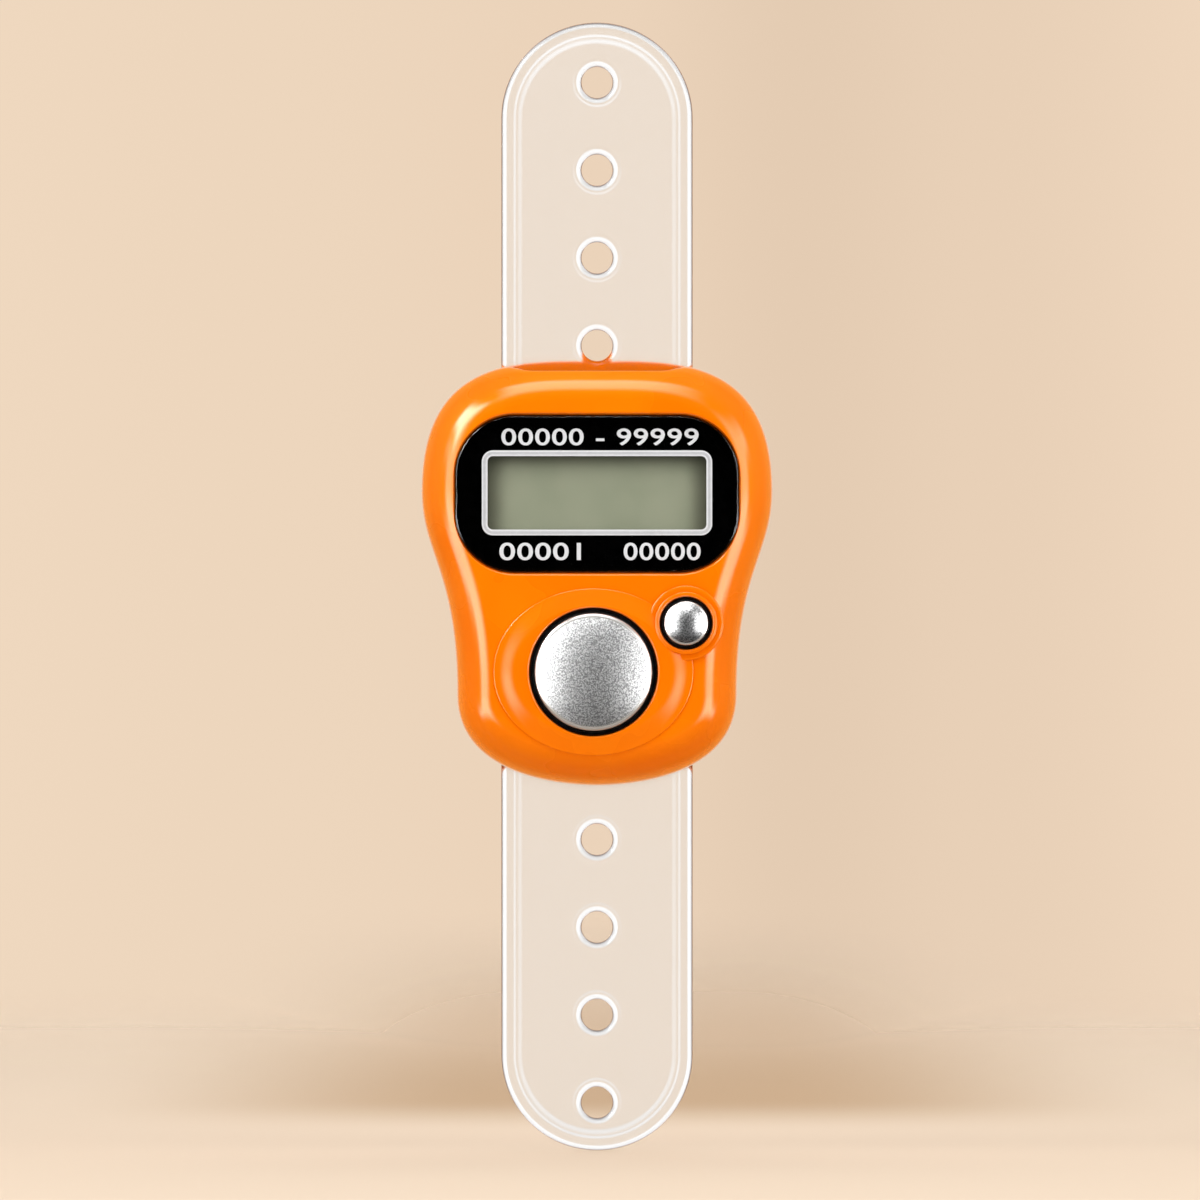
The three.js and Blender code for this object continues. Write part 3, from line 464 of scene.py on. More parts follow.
def boss(x, z, foot, top, height, step_height):
    """A boss that rises by a small step, then swells at the sides and slopes evenly above and below."""
    rings = [(ellipse(*foot, x, z), BOSS_ROOT)]
    for inset, drop in reversed(quarter_round(BOSS_EDGE, 4)):
        half = [reach - inset for reach in foot]
        rings.append((ellipse(*half, x, z), FACE - step_height + drop))
    for step in range(1, BOSS_STEPS + 1):
        rise = step / BOSS_STEPS
        swollen = 0.5 - math.sin(math.asin(1 - 2 * rise) / 3)
        half_x = (foot[0] - BOSS_EDGE) * (1 - swollen) + top[0] * swollen
        half_z = (foot[1] - BOSS_EDGE) * (1 - rise) + top[1] * rise
        rings.append((ellipse(half_x, half_z, x, z), FACE - step_height - (height - step_height) * rise))
    return skin("boss", rings)


def raise_bosses(shell):
    """One wide boss round the count button and two low round tiers at the reset button."""
    x, z, ring = round_place("count_button_ring")[:3]
    top = [ring + reach for reach in COUNT_TOP_PAST_RING]
    combine(shell, boss(x, z, COUNT_FOOT, top, COUNT_HEIGHT, COUNT_STEP), "UNION")
    x, z = round_place("reset_button_ring")[:2]
    for radius, height in RESET_TIERS:
        foot = (radius, radius)
        top = (radius - TIER_SLOPE_WIDTH, radius - TIER_SLOPE_WIDTH)
        combine(shell, boss(x, z, foot, top, height, height - TIER_SLOPE_HEIGHT), "UNION")


def hollow_out(shell):
    """The bay for the electronics, and behind it the wider seat of the inner plate."""
    bay_profile = (
        (PILLOW_INSET, SHELF_REAR),
        (CAVITY_SHOULDER, FACE + PILLOW_DEPTH / 2),
        (0, FACE + PILLOW_DEPTH),
        (0, PLATE_FRONT + HOLLOW_OVERLAP),
    )
    bay = [(case_outline(inset + CASE_WALL), y) for inset, y in bay_profile]
    seat = [(case_outline(RIM_WALL), y) for y in (PLATE_FRONT, PARTING + MM)]
    reach = HALF_HEIGHT - END_WALL
    for name, rings in (("bay", bay), ("seat", seat)):
        hollow = skin(name, rings)
        combine(hollow, block("bounds", (-1, FACE, -reach), (1, PARTING + 2 * MM, reach)), "INTERSECT")
        combine(shell, hollow, "DIFFERENCE")


def opening_cutter(name, outline, floor, surface, lip=OPENING_LIP):
    """A cutter with a flared mouth, which leaves a rounded lip where it meets the surface."""
    rings = [(outline(0), floor)]
    for step in range(LIP_STEPS + 1):
        angle = LIP_TURN * step / LIP_STEPS
        rings.append((outline(-lip * (1 - math.cos(angle))), surface + lip * (1 - math.sin(angle))))
    rings.append((rings[-1][0], surface - MM))
    return skin(name, rings)


def open_front(shell):
    """The recess of the lens, the opening behind it and the holes of the two buttons."""
    lens = box_outline(lens_low, lens_high, LENS_CORNER)
    recess = opening_cutter("recess", lambda inset: lens(inset - LENS_CLEARANCE), SHELF_FRONT, FACE)
    combine(shell, recess, "DIFFERENCE")
    gasket = rounded_rectangle(
        gasket_high.x - gasket_low.x, gasket_high.z - gasket_low.z, GASKET_CORNER, WINDOW_Z,
    )
    opening = [(gasket(-GASKET_CLEARANCE), y) for y in (SHELF_FRONT - MM, SHELF_REAR + MM)]
    combine(shell, skin("opening", opening), "DIFFERENCE")
    for label, height in (("count", COUNT_HEIGHT), ("reset", RESET_TIERS[-1][1])):
        x, z, radius = round_place(f"{label}_button_ring")[:3]
        outline = round_outline(x, z, radius + BUTTON_GAP)
        combine(shell, opening_cutter("hole", outline, BOARD_FRONT, FACE - height), "DIFFERENCE")


def front_case():
    shell = skin("front_case", [(case_outline(inset), y) for inset, y in pillow_profile()])
    dip_over_strap(shell)
    raise_bosses(shell)
    hollow_out(shell)
    open_front(shell)
    tunnel = block("tunnel", (-TUNNEL_HALF_WIDTH, TUNNEL_FRONT, -1), (TUNNEL_HALF_WIDTH, PARTING + MM, 1))
    combine(shell, tunnel, "DIFFERENCE")
    return smoothed(shell)


def back_case():
    """The rounded back, with a shallow trough for the finger and a counterbore at each screw."""
    profile = [(SEAM_CHAMFER, PARTING), (0, PARTING + SEAM_CHAMFER)]
    for inset, drop in reversed(quarter_round(BACK_ROUNDING, ROUND_STEPS)):
        profile.append((inset, FOOT - drop))
    shell = skin("back_case", [(case_outline(inset), y) for inset, y in profile])
    trough = turned("trough", [(0, -1), (SEAT_RADIUS, -1), (SEAT_RADIUS, 1), (0, 1)], 0, 0, SEAT_SIDES)
    trough.data.transform(Matrix.Translation((0, SEAT_RADIUS, 0)) @ Matrix.Rotation(QUARTER, 4, "Z"))
    combine(shell, trough, "DIFFERENCE")
    flared = COUNTERBORE_RADIUS + COUNTERBORE_FLARE
    for corner in ("upper_left", "upper_right", "lower_left", "lower_right"):
        x, z = round_place(f"case_screw_{corner}")[:2]
        counterbore = turned("counterbore", [
            (0, COUNTERBORE_FLOOR), (COUNTERBORE_RADIUS, COUNTERBORE_FLOOR),
            (COUNTERBORE_RADIUS, FOOT - COUNTERBORE_FLARE), (flared, FOOT),
            (flared, FOOT + MM), (0, FOOT + MM),
        ], x, z, COUNTERBORE_SIDES)
        combine(shell, counterbore, "DIFFERENCE")
    return smoothed(shell)


# Display

def display_window():
    """The clear window, with a narrow bevelled edge, down to the ink on its back."""
    outline = box_outline(lens_low, lens_high, LENS_CORNER)
    rings = [(outline(inset), LENS_FRONT + drop) for inset, drop in LENS_EDGE]
    rings.append((outline(0), lens_high.y - 2 * INK))
    return smoothed(skin("clear_window", rings))


def plate_ring(name, outer, inner, front, rear):
    """A flat frame between two outlines."""
    return skin(name, [(outer, front), (outer, rear), (inner, rear), (inner, front)], looped=True)


def black_print():
    outline = box_outline(mask_low, mask_high, LENS_CORNER)
    return smoothed(plate_ring("black_print", outline(0), window_outline()(0), mask_low.y, mask_high.y))


def window_frame():
    """A white line round the window, with grey along its middle that paints the shade of a groove."""
    window = window_outline()
    edge = mask_low.y
    line = plate_ring("window_line", window(-PRINT_LINE), window(PRINT_OVERLAP), edge - INK, edge)
    groove = plate_ring(
        "window_line_groove", window(PRINT_GROOVE - PRINT_LINE), window(-PRINT_GROOVE),
        edge - GROOVE_INK, edge - INK,
    )
    return line, groove


def printed_number(name, text, left, top, right, bottom):
    """Plain digits in white ink, fitted to a box that is given in the photograph's pixels."""
    low_x, low_z = at_photo(left, bottom)
    high_x, high_z = at_photo(right, top)
    curve = bpy.data.curves.new(name, "FONT")
    curve.body = text
    curve.extrude = DIGIT_EXTRUSION
    curve.offset = DIGIT_WEIGHT
    curve.space_character = DIGIT_SPACING
    words = bpy.data.objects.new(name, curve)
    bpy.context.scene.collection.objects.link(words)
    depsgraph = bpy.context.evaluated_depsgraph_get()
    mesh = bpy.data.meshes.new_from_object(words.evaluated_get(depsgraph))
    bpy.data.objects.remove(words)
    xs = [v.co.x for v in mesh.vertices]
    ys = [v.co.y for v in mesh.vertices]
    scale_x = (high_x - low_x) / (max(xs) - min(xs))
    scale_z = (high_z - low_z) / (max(ys) - min(ys))
    thickness = INK / (2 * DIGIT_EXTRUSION)
    place = Matrix.Translation((low_x, mask_low.y - INK / 2, low_z))
    stand = Matrix.Rotation(QUARTER, 4, "X")
    size = Matrix.Diagonal((scale_x, scale_z, thickness, 1))
    start = Matrix.Translation((-min(xs), -min(ys), 0))
    mesh.transform(place @ stand @ size @ start)
    piece = bpy.data.objects.new(name, mesh)
    bpy.context.scene.collection.objects.link(piece)
    return piece


# Buttons

def button_cap(label):
    """A cap with a shallow round crown, a rounded edge and the flange that holds it in the case."""
    x, z, flange, front, rear = round_place(f"{label}_button")
    cap = round_place(f"{label}_button_ring")[2] - CAP_INSET[label]
    crown = CROWN_HEIGHT[label]
    rounding = CROWN_ROUNDING[label]
    crown_radius = cap - rounding
    sphere = (crown_radius ** 2 + crown ** 2) / (2 * crown)
    profile = []
    for step in range(CROWN_STEPS + 1):
        radius = crown_radius * step / CROWN_STEPS
        profile.append((radius, front + sphere - math.sqrt(sphere ** 2 - radius ** 2)))
    slope = math.asin(crown_radius / sphere)
    for step in range(1, ROUND_STEPS + 1):
        angle = slope + (QUARTER - slope) * step / ROUND_STEPS
        share = (math.sin(angle) - math.sin(slope)) / (1 - math.sin(slope))
        drop = rounding * (math.cos(slope) - math.cos(angle))
        profile.append((crown_radius + rounding * share, front + crown + drop))
    flange_front = rear - FLANGE_THICKNESS
    profile += [(cap, flange_front), (flange, flange_front), (flange, rear), (0, rear)]
    return smoothed(turned(f"{label}_cap", profile, x, z, BUTTON_SIDES))


def button_ring(label):
    x, z, outer, front, rear = round_place(f"{label}_button_ring")
    inner = outer - RING_WIDTH[label]
    profile = [
        (inner, front + RING_LIP), (inner + RING_LIP, front), (outer - RING_LIP, front),
        (outer, front + RING_LIP), (outer, rear), (inner, rear), (inner, front + RING_LIP),
    ]
    return smoothed(turned(f"{label}_ring", profile, x, z, BUTTON_SIDES))


def return_dome(label):
    """The rubber dome that pushes a button back: its rim stays and its top moves with the button."""
    x, z, base, front, rear = round_place(f"{label}_rubber_dome")
    skirt = base - DOME_RIM
    top = skirt * DOME_TOP_SHARE
    edge = front + DOME_EDGE
    shoulder = rear - DOME_WALL
    profile = [(0, front), (top - DOME_EDGE, front), (top, edge)]
    for step in range(1, ROUND_STEPS + 1):
        share = step / ROUND_STEPS
        profile.append((top + (skirt - top) * eased(share), edge + (shoulder - edge) * share))
    profile += [
        (base, shoulder), (base, rear), (skirt - DOME_WALL, rear),
        (top - DOME_WALL, front + DOME_WALL), (0, front + DOME_WALL),
    ]
    dome = smoothed(turned(f"{label}_dome", profile, x, z, DOME_SIDES))
    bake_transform(dome)
    return dome


# Screws

def plated_screw(node):
    """A pan head screw with a cross recess, seated where its plain node is, head to the back."""
    x, z, _, tip, rear = round_place(node)
    seat = rear - SCREW_HEAD_HEIGHT
    thread = tip + SCREW_TIP
    profile = [(0, tip), (SCREW_SHANK, thread)]
    for turn in range(int((seat - thread - THREAD_STOP) / THREAD_PITCH)):
        y = thread + turn * THREAD_PITCH
        profile += [(SCREW_SHANK, y + THREAD_CREST), (SCREW_SHANK - THREAD_DEPTH, y + THREAD_ROOT)]
    profile += [(SCREW_SHANK, seat - SCREW_NECK), (SCREW_SHANK, seat), (SCREW_HEAD, seat)]
    for inset, drop in reversed(quarter_round(SCREW_HEAD_ROUNDING, 5)):
        profile.append((SCREW_HEAD - inset, rear - drop))
    profile.append((0, rear))
    screw = turned(f"{node}_plated", profile, x, z, SCREW_SIDES)
    for half_x, half_z in ((CROSS_REACH, CROSS_HALF_WIDTH), (CROSS_HALF_WIDTH, CROSS_REACH)):
        low = (x - half_x, rear - CROSS_DEPTH, z - half_z)
        slot = block("slot", low, (x + half_x, rear + MM, z + half_z))
        combine(screw, slot, "DIFFERENCE")
    return smoothed(screw)


# Strap

def quarter_ellipse(start, reach, rise, steps=14):
    angles = [QUARTER * step / steps for step in range(steps + 1)]
    return [(start + reach * (1 - math.cos(a)), rise * math.sin(a)) for a in angles]


def easing(start, rise, width, drop, steps=8):
    """A gentle step down by drop over width, level at both of its ends."""
    shares = [step / steps for step in range(1, steps + 1)]
    return [(start + width * share, rise - drop * eased(share)) for share in shares]


def bend_z(tail):
    joint = next(joint for joint in frame["joints"] if joint["name"] == f"{tail}_bend")
    return joint["pos_m"][2]


def strap_half(name, end_z, margin):
    """Half of the strap: one face with its rim and lipped holes, mirrored, and cut in rows to bend."""
    side = 1 if end_z > 0 else -1
    web = STRAP_HALF_THICKNESS - STRAP_STEP[1] - STRAP_DISH[1]
    outline = strap_outline(end_z)
    edge = quarter_ellipse(0, STRAP_ROUND, STRAP_HALF_THICKNESS)
    edge += [(STRAP_RIM, STRAP_HALF_THICKNESS)]
    edge += easing(STRAP_RIM, STRAP_HALF_THICKNESS, *STRAP_STEP)
    edge += easing(STRAP_RIM + STRAP_STEP[0], STRAP_HALF_THICKNESS - STRAP_STEP[1], *STRAP_DISH)
    mouth = quarter_ellipse(HOLE_RADIUS, HOLE_ROUND, web + HOLE_LIP[1])
    mouth += easing(HOLE_RADIUS + HOLE_ROUND, web + HOLE_LIP[1], *HOLE_LIP)

    bm = bmesh.new()
    band(bm, [(outline(inset), STRAP_MIDDLE - rise) for inset, rise in edge])
    for hole in range(HOLES_PER_END):
        z = end_z - side * (margin + HOLE_PITCH * hole)
        rings = [(ellipse(radius, radius, 0, z, STRAP_STEPS), STRAP_MIDDLE - rise) for radius, rise in mouth]
        band(bm, rings)
    web_y = STRAP_MIDDLE - web
    rims = [e for e in bm.edges if e.is_boundary and all(abs(v.co.y - web_y) < WELD for v in e.verts)]
    bmesh.ops.triangle_fill(bm, use_beauty=True, edges=rims, normal=(0, -1, 0))
    other = bmesh.ops.duplicate(bm, geom=bm.verts[:] + bm.edges[:] + bm.faces[:])["geom"]
    other_verts = [part for part in other if isinstance(part, bmesh.types.BMVert)]
    space = Matrix.Translation((0, -STRAP_MIDDLE, 0))
    bmesh.ops.scale(bm, vec=(1, -1, 1), space=space, verts=other_verts)
    bmesh.ops.remove_doubles(bm, verts=bm.verts, dist=WELD)
    bmesh.ops.recalc_face_normals(bm, faces=bm.faces)

    tail = "upper_tail" if side > 0 else "lower_tail"
    pivot = bend_z(tail)
    for row in range(BEND_ROWS + 1):
        z = pivot - BEND_REACH + 2 * BEND_REACH * row / BEND_ROWS
        everything = bm.verts[:] + bm.edges[:] + bm.faces[:]
        bmesh.ops.bisect_plane(bm, geom=everything, dist=WELD, plane_co=(0, 0, z), plane_no=(0, 0, 1))
    strap = mesh_object(name, bm)
    strap.data.shade_smooth()
    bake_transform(strap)
    return strap


# Shader arithmetic

def added(tree, node_type, *inputs):
    """A new node whose first inputs take the outputs, numbers or colours given."""
    node = tree.nodes.new(node_type)
    for index, value in enumerate(inputs):
        if isinstance(value, (int, float, tuple)):
            node.inputs[index].default_value = value
        else:
            tree.links.new(value, node.inputs[index])
    return node


def joined(tree, how, *values, node_type="ShaderNodeMath"):
    """Outputs or numbers run together by one operation, from left to right."""
    result = values[0]
    for value in values[1:]:
        node = added(tree, node_type, result, value)
        node.operation = how
        result = node.outputs[0]
    return result


def joined_colours(tree, how, *values):
    return joined(tree, how, *values, node_type="ShaderNodeVectorMath")


def magnitude(tree, output):
    node = added(tree, "ShaderNodeMath", output)
    node.operation = "ABSOLUTE"
    return node.outputs["Value"]


def length(tree, vector):
    node = added(tree, "ShaderNodeVectorMath", vector)
    node.operation = "LENGTH"
    return node.outputs["Value"]


def span(tree, output, start, stop, low=0.0, high=1.0):
    """Runs softly from low where output is start to high where it is stop; either may be the larger."""
    if start > stop:
        start, stop, low, high = stop, start, high, low
    node = added(tree, "ShaderNodeMapRange", output)
    node.interpolation_type = "SMOOTHSTEP"
    for socket, value in (("From Min", start), ("From Max", stop), ("To Min", low), ("To Max", high)):
        node.inputs[socket].default_value = value
    return node.outputs["Result"]


def from_signed(tree, output):
    """An output that runs from -1 to 1, moved to run from 0 to 1."""
    node = added(tree, "ShaderNodeMapRange", output)
    node.inputs["From Min"].default_value = -1
    return node.outputs["Result"]


def ramp(tree, value, stops):
    """A colour that runs through stops of (position, grey or colour) as value goes from 0 to 1."""
    node = added(tree, "ShaderNodeValToRGB", value)
    node.color_ramp.interpolation = "EASE"
    elements = node.color_ramp.elements
    while len(elements) < len(stops):
        elements.new(0.5)
    for element, (position, shade) in zip(elements, stops):
        element.position = position
    for element, (position, shade) in zip(elements, stops):
        element.color = shade if isinstance(shade, tuple) else (shade, shade, shade, 1)
    return node.outputs["Color"]


def choose(tree, factor, first, second):
    """The first colour where factor is 0, the second where it is 1, and a mix between."""
    mix = tree.nodes.new("ShaderNodeMix")
    mix.data_type = "RGBA"
    tree.links.new(factor, mix.inputs["Factor"])
    for name, value in (("A", first), ("B", second)):
        socket = next(i for i in mix.inputs if i.name == name and i.type == "RGBA")
        if isinstance(value, tuple):
            socket.default_value = value
        else:
            tree.links.new(value, socket)
    return next(o for o in mix.outputs if o.type == "RGBA")


# Finishes

class Finish:
    """One Principled shader and the grains and spots that feed it."""

    def __init__(self, name, base, roughness, metallic=0.0):
        self.material = bpy.data.materials.new(name)
        self.material.use_nodes = True
        self.tree = self.material.node_tree
        self.shader = self.tree.nodes["Principled BSDF"]
        self.output = self.tree.nodes["Material Output"]
        self.shader.inputs["Base Color"].default_value = base
        self.shader.inputs["Roughness"].default_value = roughness
        self.shader.inputs["Metallic"].default_value = metallic
        self.place = self.tree.nodes.new("ShaderNodeTexCoord").outputs["Object"]

    def grain(self, size, detail=2.0):
        """Soft noise whose spots are about size across, in metres."""
        noise = self.tree.nodes.new("ShaderNodeTexNoise")
        noise.inputs["Scale"].default_value = 1 / size
        noise.inputs["Detail"].default_value = detail
        self.tree.links.new(self.place, noise.inputs["Vector"])
        return noise.outputs["Fac"]

    def between(self, factor, low, high, start=0.35, stop=0.65):
        return span(self.tree, factor, start, stop, low, high)

    def blend_colours(self, factor, first, second):
        return choose(self.tree, factor, first, second)

    def feed(self, socket, output):
        self.tree.links.new(output, self.shader.inputs[socket])
        return self

    def bump(self, factor, height):
        node = self.tree.nodes.new("ShaderNodeBump")
        node.inputs["Distance"].default_value = height
        self.tree.links.new(factor, node.inputs["Height"])
        return self.feed("Normal", node.outputs["Normal"])

    def clear(self, index, haze=0.0, milk=(1, 1, 1, 1)):
        """Makes the finish see-through, with a share of haze that is milky.

        Lamps shine through it. Mirrored rays that haven't been in a clear piece pass through it too,
        which keeps the strap out of the gloss of the case.
        """
        look = self.see_through(self.shader, index)
        if haze:
            milky = self.tree.nodes.new("ShaderNodeBsdfPrincipled")
            milky.inputs["Base Color"].default_value = milk
            milky.inputs["Roughness"].default_value = HAZE_ROUGHNESS
            look = self.mixed(haze, look, self.see_through(milky, index))
        path = self.tree.nodes.new("ShaderNodeLightPath")
        light = self.tree.nodes.new("ShaderNodeBsdfTransparent")
        outside = joined(self.tree, "LESS_THAN", path.outputs["Transmission Depth"], 0.5)
        mirrored = joined(self.tree, "MULTIPLY", path.outputs["Is Glossy Ray"], outside)
        passing = joined(self.tree, "MAXIMUM", path.outputs["Is Shadow Ray"], mirrored)
        return self.show(self.mixed(passing, look, light.outputs["BSDF"]))

    def see_through(self, shader, index):
        shader.inputs["Transmission Weight"].default_value = 1.0
        shader.inputs["IOR"].default_value = index
        return shader.outputs["BSDF"]

    def mixed(self, factor, first, second):
        mix = added(self.tree, "ShaderNodeMixShader", factor)
        self.tree.links.new(first, mix.inputs[1])
        self.tree.links.new(second, mix.inputs[2])
        return mix.outputs["Shader"]

    def show(self, look):
        self.tree.links.new(look, self.output.inputs["Surface"])
        return self


GLOSS_WANDER = 0.15
HAZE_ROUGHNESS = 0.5
ORANGE_SHEEN = (1, 0.75, 0.05, 1)
VINYL_MILK = (1, 0.975, 0.945, 1)


def plain_finish(name, low, high, roughness, metallic=0.0, size=0.6 * MM, height=0.0):
    """A finish whose colour and gloss wander a little between two close colours."""
    finish = Finish(name, low, roughness, metallic)
    grain = finish.grain(size)
    finish.feed("Base Color", finish.blend_colours(finish.between(grain, 0, 1), low, high))
    smoothest, roughest = roughness * (1 - GLOSS_WANDER), roughness * (1 + GLOSS_WANDER)
    finish.feed("Roughness", finish.between(grain, smoothest, roughest))
    if height:
        finish.bump(finish.grain(size / 3), height)
    return finish


def orange_gloss():
    """Moulded orange plastic under a clear gloss, whose surface waves very slightly."""
    finish = plain_finish("orange_gloss", colour(252, 120, 1), colour(255, 127, 2), 0.28, size=9 * MM)
    finish.bump(finish.grain(0.7 * MM, 1), 0.0008 * MM)
    finish.shader.inputs["Specular Tint"].default_value = ORANGE_SHEEN
    finish.shader.inputs["Coat Weight"].default_value = 1.0
    finish.shader.inputs["Coat Roughness"].default_value = 0.1
    return finish


def clear_finish(name, roughness, smoothest, roughest, size, index, haze=0.0, milk=(1, 1, 1, 1)):
    """A clear plastic whose gloss wanders a little."""
    finish = Finish(name, (1, 1, 1, 1), roughness).clear(index, haze, milk)
    return finish.feed("Roughness", finish.between(finish.grain(size), smoothest, roughest))


def satin_metal(label):
    """Fine bright speckle over a button's crown, and a polished rim round it."""
    x, z, outer = round_place(f"{label}_button_ring")[:3]
    edge, softness = outer - POLISHED_EDGE[label], 0.06 * MM
    finish = Finish(f"{label}_satin", colour(226, 226, 226), 0.3, 1.0)
    centred = added(finish.tree, "ShaderNodeMapping", finish.place)
    centred.inputs["Location"].default_value = (-x, 0, -z)
    centred.inputs["Scale"].default_value = (1, 0, 1)
    radius = length(finish.tree, centred.outputs["Vector"])
    rim = finish.between(radius, 0, 1, edge - softness, edge + softness)
    spots = finish.grain(0.13 * MM, 2)
    speckle = finish.blend_colours(
        finish.between(spots, 0, 1, 0.36, 0.64), colour(158, 158, 159), colour(252, 252, 252),
    )
    finish.feed("Base Color", finish.blend_colours(rim, speckle, colour(240, 238, 235)))
    finish.feed("Roughness", finish.between(rim, SATIN_ROUGHNESS[label], 0.16, 0, 1))
    finish.feed("Metallic", finish.between(rim, PLATING[label], 0.6, 0, 1))
    return finish.bump(spots, 0.006 * MM)


# Shade of the frame on the display, as (reach past the window's edge, reach inside it)
SIDE_SHADE = (0.4 * MM, 2.2 * MM)
TOP_SHADE = (0.3 * MM, 1.3 * MM)
SHADE_STRENGTH = 0.75


def display_film():
    """Grey-green film of a blank display, in the shade of its frame at the left, right and top."""
    finish = plain_finish("display_film", colour(172, 176, 150), colour(165, 170, 144), 0.35, size=4 * MM)
    film = finish.shader.inputs["Base Color"].links[0].from_socket
    axes = added(finish.tree, "ShaderNodeSeparateXYZ", finish.place)
    side, top = WINDOW_WIDTH / 2, WINDOW_Z + WINDOW_HEIGHT / 2
    for axis, lit, shaded in (
        ("X", -side + SIDE_SHADE[1], -side - SIDE_SHADE[0]),
        ("X", side - SIDE_SHADE[1], side + SIDE_SHADE[0]),
        ("Z", top - TOP_SHADE[1], top + TOP_SHADE[0]),
    ):
        shade = span(finish.tree, axes.outputs[axis], lit, shaded)
        shade = joined(finish.tree, "MULTIPLY", shade, SHADE_STRENGTH)
        film = finish.blend_colours(shade, film, colour(84, 82, 66))
    return finish.feed("Base Color", film)


# Camera and lamps

def set_camera():
    """A straight front view, at a scale of one PIXEL a pixel in the plane of SCALED_DEPTH."""
    camera = bpy.data.objects.new("camera", bpy.data.cameras.new("camera"))
    bpy.context.scene.collection.objects.link(camera)
    camera.data.sensor_width = SENSOR_WIDTH
    camera.data.lens = SENSOR_WIDTH * CAMERA_DISTANCE / (PHOTO_SIZE * PIXEL)
    centre_x, centre_z = at_photo(PHOTO_SIZE / 2, PHOTO_SIZE / 2)
    camera.location = (centre_x, SCALED_DEPTH - CAMERA_DISTANCE, centre_z)
    camera.rotation_euler = (QUARTER, 0, 0)
    camera.data.clip_start = 0.01
    camera.data.clip_end = 10
    bpy.context.scene.camera = camera


def softbox(name, place, aim, width, height, power):
    """A soft lamp that faces the point aimed at. It isn't seen itself: the studio holds its reflection."""
    light = bpy.data.lights.new(name, "AREA")
    light.shape = "RECTANGLE"
    light.size = width
    light.size_y = height
    light.energy = power
    light.cycles.use_multiple_importance_sampling = False
    lamp = bpy.data.objects.new(name, light)
    bpy.context.scene.collection.objects.link(lamp)
    lamp.location = place
    lamp.rotation_euler = (Vector(aim) - Vector(place)).to_track_quat("-Z", "Y").to_euler()
    lamp.visible_camera = False
    lamp.visible_glossy = False
    lamp.visible_transmission = False


def set_light():
    body = (0, 0, 0)
    floor_behind = (0, 0.25, cad_low.z)
    softbox("left_softbox", (-0.315, -0.246, 0.18), body, 0.32, 0.5, 1.0)
    softbox("right_softbox", (0.315, -0.246, 0.18), body, 0.32, 0.5, 0.97)
    softbox("top_softbox", (0, -0.25, 0.4), body, 0.5, 0.25, 0.64)
    softbox("front_fill", (0, -0.7, 0), body, 0.3, 0.3, 0.95)
    softbox("rear_softbox", (0, 0.45, 0.5), floor_behind, 0.8, 0.5, 2.05)


# Studio by direction: x to the right, y to the rear, z up, side either way along x. Ramps are
# stops of (position from 0 to 1, grey or colour).

BACKDROP = colour(236, 213, 188)
WALL_SPREAD = 12.5
# The wall across x, as the camera sees it: a painted soft shadow of the counter to its right, lighter
# towards the edges
WALL_WITH_PAINTED_SHADOW = [
    (0.0, colour(239, 216, 191)), (0.25, colour(237, 214, 189)), (0.5, colour(235, 211, 186)),
    (0.65, colour(228, 204, 179)), (0.78, colour(232, 208, 183)), (1.0, colour(239, 215, 190)),
]
ROOM_BY_DEPTH = [
    (0.0, 0.0), (0.02, 0.0), (0.06, 0.04), (0.6, 0.02), (0.85, (0.5, 0.13, 0.01, 1)),
    (0.98, (0.85, 0.32, 0.06, 1)), (0.997, BACKDROP),
]
FILL_BY_DEPTH = [(0.0, 0.1), (0.5, 0.8), (1.0, 1.3)]
CLEAR_BY_DEPTH = [(0.0, 0.0), (0.08, 0.0), (0.2, 0.8), (0.6, 1.0)]
CLEAR_BY_SIDE = [(0.0, 1.0), (0.58, 1.0), (0.68, 0.12), (1.0, 0.1)]
CLEAR_BY_HEIGHT = [
    (0.0, 0.15), (0.2, 0.3), (0.3, 0.76), (0.43, 0.8),
    (0.49, 1.0), (0.75, 0.97), (0.85, 0.4), (1.0, 0.3),
]
CLEAR_BY_BEND = [(0.0, BACKDROP), (0.04, BACKDROP), (0.11, 1.12), (1.0, 1.12)]
TURNED_TO_FRONT = (0.35, 0.15)

# Lamps in mirrors: limits are (axis, where it is dark, where it is bright)
SIDE_DEPTH = (("y", -0.88, -0.62), ("y", 0.2, -0.05), ("side", 1.0, 0.93))
TOP_DEPTH = (("y", -0.78, -0.45), ("y", 0.14, 0.0))
CORNER_DEPTH = (("y", -0.75, -0.38), ("y", 0.2, -0.05), ("side", 0.92, 0.82))
MIRRORED_LAMPS = (
    (3.9, SIDE_DEPTH, (("x", -0.35, -0.55), ("z", -0.5, -0.25), ("z", 0.5, 0.15))),
    (2.4, SIDE_DEPTH, (("side", 0.35, 0.5), ("z", -0.5, -0.25), ("z", 0.06, -0.1))),
    (3.2, SIDE_DEPTH, (("x", 0.35, 0.55), ("z", -0.5, -0.25), ("z", 0.7, 0.3))),
    (4.0, TOP_DEPTH, (("z", 0.45, 0.7), ("x", -0.4, -0.22), ("x", 0.5, 0.0))),
    (13.0, CORNER_DEPTH, (("x", -0.35, -0.52), ("z", 0.15, 0.45), ("z", 0.82, 0.68))),
)


def mirrored_lamps(tree, axes):
    """Brightness of the softboxes in mirrors: sharp towards the rear and fading to the front."""
    spans = {}
    lamps = []
    for brightness, depth, limits in MIRRORED_LAMPS:
        for limit in depth + limits:
            if limit not in spans:
                axis, dark, bright = limit
                spans[limit] = span(tree, axes[axis], dark, bright)
        shares = [spans[limit] for limit in depth + limits]
        lamps.append(joined(tree, "MULTIPLY", *shares, brightness))
    return joined(tree, "ADD", *lamps)


